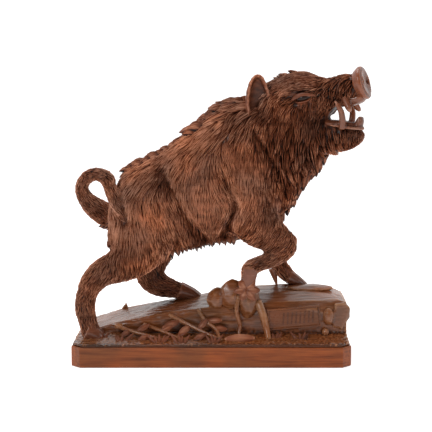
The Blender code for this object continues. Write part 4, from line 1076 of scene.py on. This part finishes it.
# %% Ears
EAR_CUP = [
    (-27, -17, -24, 4.5), (-26.5, -19, -16, 8.5), (-25, -22, -7, 11), (-22.5, -25, 3, 12.2),
    (-19, -28, 13, 11.8), (-15.5, -31, 22, 9.4), (-12.5, -33, 28.5, 6), (-11, -34, 32, 2.2),
]
EAR_OPENING = (0.66, -0.74, 0.10)
EAR_WRAP_DEG = 118
EAR_DEPTH = 0.62
EAR_POINTS = 28
EAR_THICKNESS_MM = 2.8
EAR_CUT_MM = 0.35
EAR_CUT_WAVES = (2.1, 9)


def ear_sheet(side):
    """A sheet bent round the ear's hollow. A side of -1 is the far ear."""
    s, t, v = EAR_OPENING
    opening = (HEAD_ALONG * s + HEAD_ACROSS * (t * side) + HEAD_UP * v).normalized()
    rows = smooth_rows([(*row, 0) for row in EAR_CUP], steps=4)
    centres = [Vector(head_rows([row], side)[0][:3]) for row in rows]
    bm = bmesh.new()
    bmesh.ops.create_grid(bm, x_segments=len(rows) - 1, y_segments=EAR_POINTS - 1, size=1.0)
    for vert in bm.verts:
        i = round((vert.co.x + 1) / 2 * (len(rows) - 1))
        turn = math.radians(EAR_WRAP_DEG) * vert.co.y
        tangent = (centres[min(i + 1, len(rows) - 1)] - centres[max(i - 1, 0)]).normalized()
        out = (opening - tangent * opening.dot(tangent)).normalized()
        across = tangent.cross(out)
        cut = EAR_CUT_MM * math.sin(i * EAR_CUT_WAVES[0] + vert.co.y * EAR_CUT_WAVES[1])
        radius = rows[i][3] + cut
        sunk = out * (radius * EAR_DEPTH * math.cos(turn))
        vert.co = place(*(centres[i] + across * (radius * math.sin(turn)) - sunk))
    bmesh.ops.recalc_face_normals(bm, faces=bm.faces)
    bmesh.ops.solidify(bm, geom=bm.faces[:], thickness=EAR_THICKNESS_MM * MM)
    return bm


for side, name in ((1, "near_ear"), (-1, "far_ear")):
    ear = remeshed(piece_from(ear_sheet(side), name), 0.85, eased=2)
    mark_ridges(ear)
    finish_piece(ear, coat_wood)

# %% [markdown]
# The eye is a narrow dark slit under a heavy brow. A small ball lies in the socket that the
# skin already has, with a thin lid above it and a thinner one below.

# %% Eyes
EYE = [(14.5, 21, 0.6, 1, 1), (18.5, 22.3, 0.9, 2.5, 2.5), (23.5, 21.4, 0.7, 2.5, 2.5), (28.5, 19, 0.2, 1, 1)]
UPPER_LID = [
    (10, 23.6, 0.6, 0.8, 0.8), (15.5, 24.1, 2.9, 1.5, 2.0), (21.5, 23.1, 3.4, 1.6, 2.2),
    (27.5, 20.6, 2.0, 1.4, 1.8), (33, 17.4, 0.0, 0.6, 0.6),
]
LOWER_LID = [
    (14, 22.4, -1.6, 0.5, 0.5), (18, 22.2, -2.6, 0.9, 0.9), (24, 20.4, -2.8, 0.9, 0.9),
    (29, 18, -1.8, 0.5, 0.5),
]

lid_bm = bmesh.new()
ball_bm = bmesh.new()
for side in (-1, 1):
    add_mass(ball_bm, smooth_rows(head_rows(EYE, side)), HEAD_UP, sides=14)
    for rows in (UPPER_LID, LOWER_LID):
        add_mass(lid_bm, smooth_rows(head_rows(rows, side)), HEAD_UP, sides=14)
lids = remeshed(piece_from(lid_bm, "eyelids"), 0.5, eased=1)
mark_ridges(lids, gain=0.3)
finish_piece(lids, coat_wood)
balls = remeshed(piece_from(ball_bm, "eyes"), 0.45, eased=1)
mark_ridges(balls, gain=0.0)
finish_piece(balls, dark_wood)

# %% [markdown]
# Boars walk on two toes, so each hoof is cloven. The far forefoot also shows its dew claw.

# %% Hooves
HOOVES = [
    [(-118, 0, 9, 8, 4.2), (-108, 0, 5, 7, 4.4), (-103, 0, 2, 4.5, 3.6), (-100, 0, 0, 2, 2)],
    [(-32, 0, 38, 8, 4.2), (-20, 0, 34, 6, 4.4), (-13, 0, 31.5, 3.6, 3.6), (-9, 0, 30, 1.6, 2)],
    [(37.5, 0, 70, 7, 4.2), (36.5, 0, 62, 6.8, 4.4), (34.5, 0, 54, 5.6, 4), (33, 0, 50, 3, 3)],
    [(76, 0, 52, 7, 4.2), (86, 0, 46.5, 5, 4.4), (93, 0, 43, 2.8, 3.4), (96, 0, 41.5, 1.2, 1.8)],
]
HOOF_DEPTHS = (-31, 26, -23, 26)
TOE_GAP_MM = 4.4
DEW_CLAW = [(60, 25, 60, 4.2, 4.2), (62.5, 25, 52, 3, 3), (65, 25, 42, 1.0, 1.0)]
hoof_bm = bmesh.new()
for rows, depth in zip(HOOVES, HOOF_DEPTHS):
    for toe in (-TOE_GAP_MM, TOE_GAP_MM):
        add_mass(hoof_bm, smooth_rows([(x, depth + toe, z, h, w) for x, _, z, h, w in rows]), sides=16)
add_mass(hoof_bm, smooth_rows(DEW_CLAW), sides=14)
hooves = remeshed(piece_from(hoof_bm, "hooves"), 1.0, eased=2)
mark_ridges(hooves)
finish_piece(hooves, bare_wood)

# %% [markdown]
# The ground and the ledge are one sheet of facets over the whole plinth: low in front, a steep
# face, a broad sloping top, and a fall behind. A fine grid is laid over the cross-sections that
# the solid has, its border is drawn down to the plinth, and chisel marks are pressed into it.

# %% The ledge
LEDGE = [
    (-1.00, 0.6, 1.5, 0.5), (-0.90, 6.0, 9.0, 2.0), (-0.70, 12.5, 17.5, 3.0), (-0.45, 19.0, 22.5, 3.0),
    (-0.16, 25.5, 29.0, 4.0), (0.06, 29.0, 34.0, 5.0), (0.34, 32.0, 40.0, 6.0), (0.56, 33.0, 42.5, 7.0),
    (0.80, 34.5, 42.0, 7.0), (0.93, 35.5, 38.0, 6.0), (1.00, 33.0, 35.0, 5.0),
]
CREST_DEPTH = -21
RIM_DEPTH = 27
BACK_FOOT_DEPTH = 46
FOOT_HEIGHT = 3.6
GROUND_EDGE = 2.2
GROUND_MARGIN = 1.5
CANT = 8.5
CHISEL_SEED = 3
CHISEL_STEP = 1.3
CHISEL_RISE = 0.6
LOW_CREST_MM = 8
FACE_SHOULDER = (0.35, 0.8)
TOP_MIDDLE = 0.45
BACK_FOOT_RISE = 0.35
GRID_ALONG = 240
GRID_ACROSS = 120
half_length = (PLINTH_HIGH.x - PLINTH_LOW.x) / 2 / MM - GROUND_MARGIN
half_depth = (PLINTH_HIGH.y - PLINTH_LOW.y) / 2 / MM - GROUND_MARGIN


def ledge_section(row, chance):
    """Front to back across the block, as (y, z) in millimetres, as the solid has it."""
    _, crest, rim, foot = row
    foot_y = CREST_DEPTH - foot
    foot_z = GROUND_EDGE + min(FOOT_HEIGHT, crest)
    middle = [
        ((foot_y - half_depth) / 2, (GROUND_EDGE + foot_z) / 2),
        (foot_y, foot_z),
        (foot_y + foot * FACE_SHOULDER[0], GROUND_EDGE + crest * FACE_SHOULDER[1]),
        (CREST_DEPTH, GROUND_EDGE + crest),
        (0, GROUND_EDGE + crest * TOP_MIDDLE + rim * (1 - TOP_MIDDLE)),
        (RIM_DEPTH, GROUND_EDGE + rim),
        (BACK_FOOT_DEPTH, GROUND_EDGE + rim * BACK_FOOT_RISE),
    ]
    step = CHISEL_STEP * min(1.0, crest / LOW_CREST_MM)
    moved = [(-half_depth, GROUND_EDGE)]
    for y, z in middle:
        y += chance.uniform(-step, step)
        z += chance.uniform(-step, step) * CHISEL_RISE
        moved.append((y, z))
    moved.append((half_depth, GROUND_EDGE))
    return np.array(moved)


def ledge_grid():
    """Points of the sheet: for each station along the block, points from front to back."""
    chance = random.Random(CHISEL_SEED)
    sections = [ledge_section(row, chance) for row in LEDGE]
    shares = np.array([row[0] for row in LEDGE])
    fine = np.linspace(0, len(sections[0]) - 1, GRID_ACROSS)
    fine_sections = []
    for section in sections:
        spots = np.arange(len(section))
        fine_sections.append(np.stack([np.interp(fine, spots, section[:, k]) for k in range(2)], axis=1))
    fine_sections = np.array(fine_sections)
    stations = np.linspace(-1, 1, GRID_ALONG)
    grid = np.empty((len(stations), len(fine), 3))
    grid[:, :, 0] = (stations * half_length)[:, None]
    for j in range(len(fine)):
        for k in range(2):
            grid[:, j, k + 1] = np.interp(stations, shares, fine_sections[:, j, k])
    return grid


grid = ledge_grid()
rows_of_grid, columns_of_grid = grid.shape[:2]
ledge_bm = bmesh.new()
bmesh.ops.create_grid(ledge_bm, x_segments=rows_of_grid - 1, y_segments=columns_of_grid - 1, size=1.0)
ledge_bm.verts.ensure_lookup_table()
for vert in ledge_bm.verts:
    i = round((vert.co.x + 1) / 2 * (rows_of_grid - 1))
    j = round((vert.co.y + 1) / 2 * (columns_of_grid - 1))
    vert.co = place(*grid[i, j])
for sign_x in (-1, 1):
    for sign_y in (-1, 1):
        corner = place(sign_x * (half_length - CANT), sign_y * half_depth, 0)
        everything = ledge_bm.verts[:] + ledge_bm.edges[:] + ledge_bm.faces[:]
        cut = {"plane_co": corner, "plane_no": (sign_x, sign_y, 0), "clear_outer": True}
        bmesh.ops.bisect_plane(ledge_bm, geom=everything, dist=1e-7, **cut)
inner = [vert for vert in ledge_bm.verts if not vert.is_boundary]
bmesh.ops.smooth_vert(ledge_bm, verts=inner, factor=0.5, use_axis_x=True, use_axis_y=True, use_axis_z=True)
border = [e for e in ledge_bm.edges if e.is_boundary]
drawn = bmesh.ops.extrude_edge_only(ledge_bm, edges=border)["geom"]
for vert in [item for item in drawn if isinstance(item, bmesh.types.BMVert)]:
    vert.co.z = GROUND
bmesh.ops.holes_fill(ledge_bm, edges=[e for e in ledge_bm.edges if e.is_boundary], sides=0)
ledge = piece_from(ledge_bm, "rocky_ground")
print("ledge", len(ledge.data.polygons))

# %% [markdown]
# Chisel marks: long shallow scallops on the rock's top and face, and a close stipple on the
# low ground in front, where the carver broke up the surface with a small gouge.

# %% Chisel marks on the ledge
MARK_DEPTH_MM = 0.35
STIPPLE_DEPTH_MM = 0.55
SCALLOPS = ((0.07, 0.33, 0.42), (0, 0, 0), 1.4)
FINE_CUTS = ((0.20, 0.9, 1.1), (40, 0, 0), 0.6)
STIPPLE = ((0.55, 0.7, 1), (0, 90, 0), 1.6)
BORDER_MM = 0.4
STIPPLED = (-25, 9)
DARK_JOINT_MM = 0.3
DARK_JOINT_WEAR = 0.1


def marks(at, kind):
    """Noise at a place in millimetres: how fine it is each way, where it starts, its share."""
    fineness, shift, share = kind
    return noise.noise(Vector([a * f for a, f in zip(at, fineness)]) + Vector(shift)) * share


def pressed(points, normals):
    """The points with scallops and stipple pressed in along their normals."""
    moved = points.copy()
    at = in_figure_mm(points)
    for i, spot in enumerate(at):
        if spot[2] < BORDER_MM:
            continue
        depth = MARK_DEPTH_MM * (marks(spot, SCALLOPS) + marks(spot, FINE_CUTS))
        if spot[1] < STIPPLED[0] and spot[2] < STIPPLED[1]:
            depth += STIPPLE_DEPTH_MM * marks(spot, STIPPLE)
        moved[i] += normals[i] * depth * MM
    return moved


move_points(ledge, pressed(vertex_array(ledge.data, "co"), vertex_array(ledge.data, "normal")))
# The ledge's ridge value: lighter on ridges as worn stain, and darker in cuts as painted shade. Along its
# foot, where it meets the plinth, it is set dark.
mark_ridges(ledge, gain=1.4)
dark_joint = in_figure_mm(vertex_array(ledge.data, "co"))[:, 2] < GROUND_EDGE + DARK_JOINT_MM
ledge_wear_and_shade = np.empty(len(dark_joint), dtype=np.float32)
wear_and_shade_layer = ledge.data.attributes["ridge"].data
wear_and_shade_layer.foreach_get("value", ledge_wear_and_shade)
ledge_wear_and_shade[dark_joint] = DARK_JOINT_WEAR
wear_and_shade_layer.foreach_set("value", ledge_wear_and_shade)
finish_piece(ledge, rock_wood)

# %% [markdown]
# Stones stand on the ledge: the stump under the near forefoot, the blocky end of the rock, and
# smaller ones. Each starts as a ball of flat faces, uneven as if split off, or as the hull of a
# few corners, and a remesh then breaks its edges lightly.

# %% Stones and blocks
STONES = [
    ((35, -21, 36), (11, 12, 18)), ((20, -18, 41), (13, 10, 15)), ((6, -15, 36), (11, 9, 12)),
    ((111, -28, 22), (5.5, 4.5, 9)), ((108, -31, 8), (4, 4, 4.5)), ((96, 14, 42), (24, 12, 4)),
    ((-88, -28, 13), (5, 3.5, 4.5)),
]
END_BLOCK = [
    (117, -27, 34), (126, -26, 35), (132, -24, 30), (132, -22, 20), (124, -27, 10), (115, -28, 12),
    (117, 12, 36), (127, 12, 35), (132, 9, 28), (129, 9, 10), (117, 12, 8),
]
RIM_CHIP = [(-95, 22, 12), (-81, 22, 16), (-85, 25, 27), (-90, 30, 12), (-82, 29, 14)]


STONE_UNEVEN = (0.9, 1.08)
LARGE_STONE_MM = 8

stone_bm = bmesh.new()
chance = random.Random(CHISEL_SEED)
for centre, halves in STONES:
    fineness = 2 if max(halves) > LARGE_STONE_MM else 1
    ball = bmesh.ops.create_icosphere(stone_bm, subdivisions=fineness, radius=1.0)["verts"]
    for vert in ball:
        vert.co *= chance.uniform(*STONE_UNEVEN)
    bmesh.ops.scale(stone_bm, vec=[h * MM for h in halves], verts=ball)
    bmesh.ops.translate(stone_bm, vec=place(*centre), verts=ball)
for corners in (END_BLOCK, RIM_CHIP):
    hull = [stone_bm.verts.new(place(*corner)) for corner in corners]
    bmesh.ops.convex_hull(stone_bm, input=hull)
stones = remeshed(piece_from(stone_bm, "stones"), 1.1, eased=1)
mark_ridges(stones)
finish_piece(stones, rock_wood)

# %% [markdown]
# Roots, stems and leaves are carved in low relief on the face of the ledge, with tufts of
# grass on the ground before it.

# %% Plants
STEMS = [
    ([(44, -24, 36), (49, -31, 24), (52, -35, 12), (54, -41, 3)], 4.2, 2.6),
    ([(26, -26, 42), (24, -29, 28), (27, -31, 14), (25, -36, 3)], 2.4, 1.5),
    ([(-40, -20, 22), (-24, -30, 16), (-6, -39, 9), (10, -47, 4)], 2.2, 1.5),
    ([(-12, -20, 27), (-6, -30, 19), (4, -36, 12), (8, -43, 4)], 2.2, 1.5),
    ([(-86, -29, 12), (-72, -36, 9), (-56, -41, 6), (-42, -47, 3)], 1.9, 1.4),
    ([(-64, -26, 14), (-50, -34, 11), (-34, -42, 6), (-22, -50, 3)], 1.9, 1.4),
]
LEAVES = [
    ((33, -30, 49), (21, -31, 47), 8), ((33, -30, 49), (26, -30, 57), 8), ((33, -30, 49), (41, -29, 56), 8),
    ((33, -30, 49), (46, -31, 48), 8), ((33, -30, 49), (28, -34, 39), 8), ((33, -30, 49), (41, -34, 39), 8),
    ((12, -47, 5), (41, -45, 5.5), 9), ((-30, -28, 18), (-46, -35, 13), 7),
    ((-20, -33, 15), (-31, -43, 7), 7),
    ((-12, -37, 12), (-4, -33, 21), 6), ((-4, -41, 9), (-16, -49, 5), 6), ((-4, -31, 19), (10, -34, 20), 6),
    ((2, -36, 13), (15, -37, 12), 6), ((-70, -36, 10), (-58, -33, 16), 6), ((-58, -41, 7), (-68, -47, 4), 6),
    ((-48, -36, 10), (-36, -34, 15), 6), ((-76, -33, 11), (-84, -41, 6), 6),
]
TUFTS = [(-104, -42, 4), (-84, -50, 4), (-48, -52, 5), (-28, -54, 4), (2, -54, 4), (60, -42, 4), (84, -44, 4)]
BLADE_LENGTH = 11
OUT_OF_FACE = Vector((0, -1, 0.6)).normalized()

stem_bm = bmesh.new()
for points, first, last in STEMS:
    rows = []
    for i, (x, y, z) in enumerate(points):
        radius = first + (last - first) * i / (len(points) - 1)
        rows.append((x, y, z, radius, radius))
    add_mass(stem_bm, smooth_rows(rows, steps=4), Vector((1, 0, 0)), sides=12)
stems = piece_from(stem_bm, "stems")
mark_ridges(stems)
finish_piece(stems, rock_wood)


def add_leaf(bm, root, tip, width, up):
    """A pointed leaf with a rib: a fine ball drawn out between its root and its tip."""
    way = tip - root
    side = way.cross(up).normalized()
    rise = side.cross(way).normalized()
    if rise.dot(up) < 0:
        rise = -rise
    ball = bmesh.ops.create_uvsphere(bm, u_segments=12, v_segments=10, radius=1.0)["verts"]
    for vert in ball:
        along, across, high = vert.co.z * 0.5 + 0.5, vert.co.x, vert.co.y
        taper = max(0.0, math.sin(math.pi * min(1.0, along * 0.94 + 0.03))) ** 0.7
        reach = math.hypot(across, high)
        if reach > 0:
            across, high = across / reach, high / reach
        rib = 1 - min(1.0, abs(across) * 1.15)
        vert.co = (
            root + way * along + side * (across * taper * width / 2) * (reach > 0)
            + rise * ((high * 0.10 + rib * 0.12 * (high > 0)) * width * taper)
        )


leaf_bm = bmesh.new()
for root, tip, width in LEAVES:
    add_leaf(leaf_bm, place(*root), place(*tip), width * MM, OUT_OF_FACE)
for x, y, blades in TUFTS:
    for i in range(blades):
        lean = (i - (blades - 1) / 2) * 0.5 + chance.uniform(-0.15, 0.15)
        length = BLADE_LENGTH * chance.uniform(0.8, 1.2)
        blade_root = place(x + lean * 2, y, 1)
        blade_tip = place(x + lean * length, y + 0.6 * length, 4 + 0.45 * length)
        add_leaf(leaf_bm, blade_root, blade_tip, 3 * MM, OUT_OF_FACE)
leaves = piece_from(leaf_bm, "leaves_and_grass")
mark_ridges(leaves, gain=0.5)
finish_piece(leaves, coat_wood)

# %% [markdown]
# A sunk panel is cut in the face of the ledge, with a raised border and a row of plain
# slanting strokes in it. It is a block whose front face is inset twice.

# %% Panel
PANEL_LENGTH = 50
PANEL_HEIGHT = 20
PANEL_BORDER = 2.2
PANEL_PROUD = 2.0
PANEL_SINK = 1.4
PANEL_TURN_DEG = 5.0
PANEL_PLACE = 0.61
PANEL_RISE = 0.56
PANEL_FORWARD = 0.8
PANEL_ROOTED = 3
SINK_SLOPE_MM = 0.4
PANEL_BREAK_MM = 0.3
STROKE_WIDTH = 1.2
STROKE_RELIEF = 0.9
STROKE_PITCH = 4.0
STROKE_MARGIN = 2.2
STROKE_SLANTS_DEG = (8, 12, 10)
STROKE_WEAR = 0.25
PANEL_WEAR = 0.55


def break_edges(bm, width_mm):
    """A small rounded bevel on every edge that isn't flat."""
    sharp = [edge for edge in bm.edges if edge.is_manifold and edge.calc_face_angle(0) > 0.15]
    shape = {"affect": "EDGES", "segments": 2, "profile": 0.5, "material": -1, "clamp_overlap": True}
    bmesh.ops.bevel(bm, geom=sharp, offset=width_mm * MM, **shape)


def ledge_row(share):
    return [np.interp(share, [row[0] for row in LEDGE], [row[k] for row in LEDGE]) for k in (1, 2, 3)]


def panel_matrix():
    crest, _, foot = ledge_row(PANEL_PLACE)
    depth, height = CREST_DEPTH - foot * PANEL_FORWARD, GROUND_EDGE + crest * PANEL_RISE
    middle = place(PANEL_PLACE * half_length, depth, height)
    lean = math.atan2(foot * FACE_SHOULDER[0], crest * FACE_SHOULDER[1] - FOOT_HEIGHT)
    turned = Matrix.Rotation(math.radians(-PANEL_TURN_DEG), 4, "Y") @ Matrix.Rotation(-lean, 4, "X")
    return Matrix.Translation(middle) @ turned


def add_block(bm, size, centre, matrix):
    made = bmesh.ops.create_cube(bm, size=1.0)["verts"]
    bmesh.ops.scale(bm, vec=[s * MM for s in size], verts=made)
    bmesh.ops.translate(bm, vec=[c * MM for c in centre], verts=made)
    bmesh.ops.transform(bm, matrix=matrix, verts=made)
    return made


panel_at = panel_matrix()
panel_bm = bmesh.new()
deep = PANEL_ROOTED * PANEL_PROUD
panel_size = (PANEL_LENGTH, PANEL_PROUD + deep, PANEL_HEIGHT)
add_block(panel_bm, panel_size, (0, (deep - PANEL_PROUD) / 2, 0), panel_at)
panel_bm.normal_update()
outward = (panel_at.to_3x3() @ Vector((0, -1, 0))).normalized()
front = max(panel_bm.faces, key=lambda f: f.normal.dot(outward))
bmesh.ops.inset_region(panel_bm, faces=[front], thickness=PANEL_BORDER * MM)
bmesh.ops.inset_region(panel_bm, faces=[front], thickness=SINK_SLOPE_MM * MM, depth=-PANEL_SINK * MM)
break_edges(panel_bm, PANEL_BREAK_MM)
field_length = PANEL_LENGTH - 2 * PANEL_BORDER
stroke_length = PANEL_HEIGHT - 2 * PANEL_BORDER - 2 * STROKE_MARGIN
panel_corners = len(panel_bm.verts)
stroke_count = int((field_length - 2 * STROKE_MARGIN) / STROKE_PITCH)
for i in range(stroke_count):
    turn = math.radians(STROKE_SLANTS_DEG[i % len(STROKE_SLANTS_DEG)])
    along = (i - (stroke_count - 1) / 2) * STROKE_PITCH
    shift = Matrix.Translation(Vector((along, PANEL_SINK - PANEL_PROUD, 0)) * MM)
    at = panel_at @ shift @ Matrix.Rotation(turn, 4, "Y")
    add_block(panel_bm, (STROKE_WIDTH, 2 * STROKE_RELIEF, stroke_length), (0, 0, 0), at)
panel = piece_from(panel_bm, "panel", smooth=False)
is_stroke = np.arange(len(panel.data.vertices)) >= panel_corners
give_value(panel.data, "ridge", np.where(is_stroke, STROKE_WEAR, PANEL_WEAR))
give_value(panel.data, "tone", np.full(len(is_stroke), 0.5))
finish_piece(panel, rock_wood)

# %% [markdown]
# The plinth is a planed board, and the solid already has its shape. It gets the wood alone.

# %% Plinth
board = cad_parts["plinth"]
board.data.materials.clear()
board.data.materials.append(plinth_wood)

# %% [markdown]
# The light is that of a catalogue picture: white all round, a broad soft light above, and a
# pale floor that runs out of sight.

# %% Floor, light and world
FLOOR_REACH = 12.0
ROOM_FRONT = 0.04
ROOM_BACK = 1.25
FLOOR_GLOW = 0.50
floor_bm = bmesh.new()
bmesh.ops.create_grid(floor_bm, x_segments=1, y_segments=1, size=FLOOR_REACH)
floor = piece_from(floor_bm, "floor", smooth=False)
floor_paint = bpy.data.materials.new("white_floor")
floor_paint.use_nodes = True
floor_shader = floor_paint.node_tree.nodes["Principled BSDF"]
floor_shader.inputs["Base Color"].default_value = (0.93, 0.93, 0.93, 1)
floor_shader.inputs["Roughness"].default_value = 0.9
floor_shader.inputs["Emission Color"].default_value = (1, 1, 1, 1)
floor_shader.inputs["Emission Strength"].default_value = FLOOR_GLOW
floor.data.materials.append(floor_paint)

world = bpy.data.worlds.new("white_room")
world.use_nodes = True
room_nodes, room_links = world.node_tree.nodes, world.node_tree.links
way_out = room_nodes.new("ShaderNodeTexCoord")
parts = room_nodes.new("ShaderNodeSeparateXYZ")
room_links.new(way_out.outputs["Generated"], parts.inputs["Vector"])
behind = room_nodes.new("ShaderNodeMapRange")
behind.interpolation_type = "SMOOTHSTEP"
room_range = {"From Min": -0.75, "From Max": 0.55, "To Min": ROOM_FRONT, "To Max": ROOM_BACK}
for socket, value in room_range.items():
    behind.inputs[socket].default_value = value
room_links.new(parts.outputs["Y"], behind.inputs["Value"])
room_links.new(behind.outputs["Result"], room_nodes["Background"].inputs["Strength"])
room_nodes["Background"].inputs["Color"].default_value = (1.0, 1.0, 1.0, 1)
bpy.context.scene.world = world
bpy.context.scene.view_settings.view_transform = "Standard"


def soft_light(name, place_m, aim_m, size_m, watts):
    lamp_data = bpy.data.lights.new(name, "AREA")
    lamp_data.shape = "SQUARE"
    lamp_data.size = size_m
    lamp_data.energy = watts
    lamp = bpy.data.objects.new(name, lamp_data)
    lamp.location = place_m
    lamp.rotation_euler = (Vector(aim_m) - Vector(place_m)).to_track_quat("-Z", "Y").to_euler()
    bpy.context.scene.collection.objects.link(lamp)


soft_light("overhead", (-0.15, 0.1, 1.3), (0, 0, 0.15), 0.7, 8)
soft_light("front_left", (-0.9, -1.3, 1.1), (0, 0, 0.14), 0.35, 11)
soft_light("front_right", (1.1, -1.3, 0.6), (0, 0, 0.10), 0.35, 4)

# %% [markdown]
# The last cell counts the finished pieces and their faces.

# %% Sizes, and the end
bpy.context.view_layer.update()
total_faces = sum(len(p.data.polygons) for p in finished)
print("pieces", len(finished), "faces", total_faces)
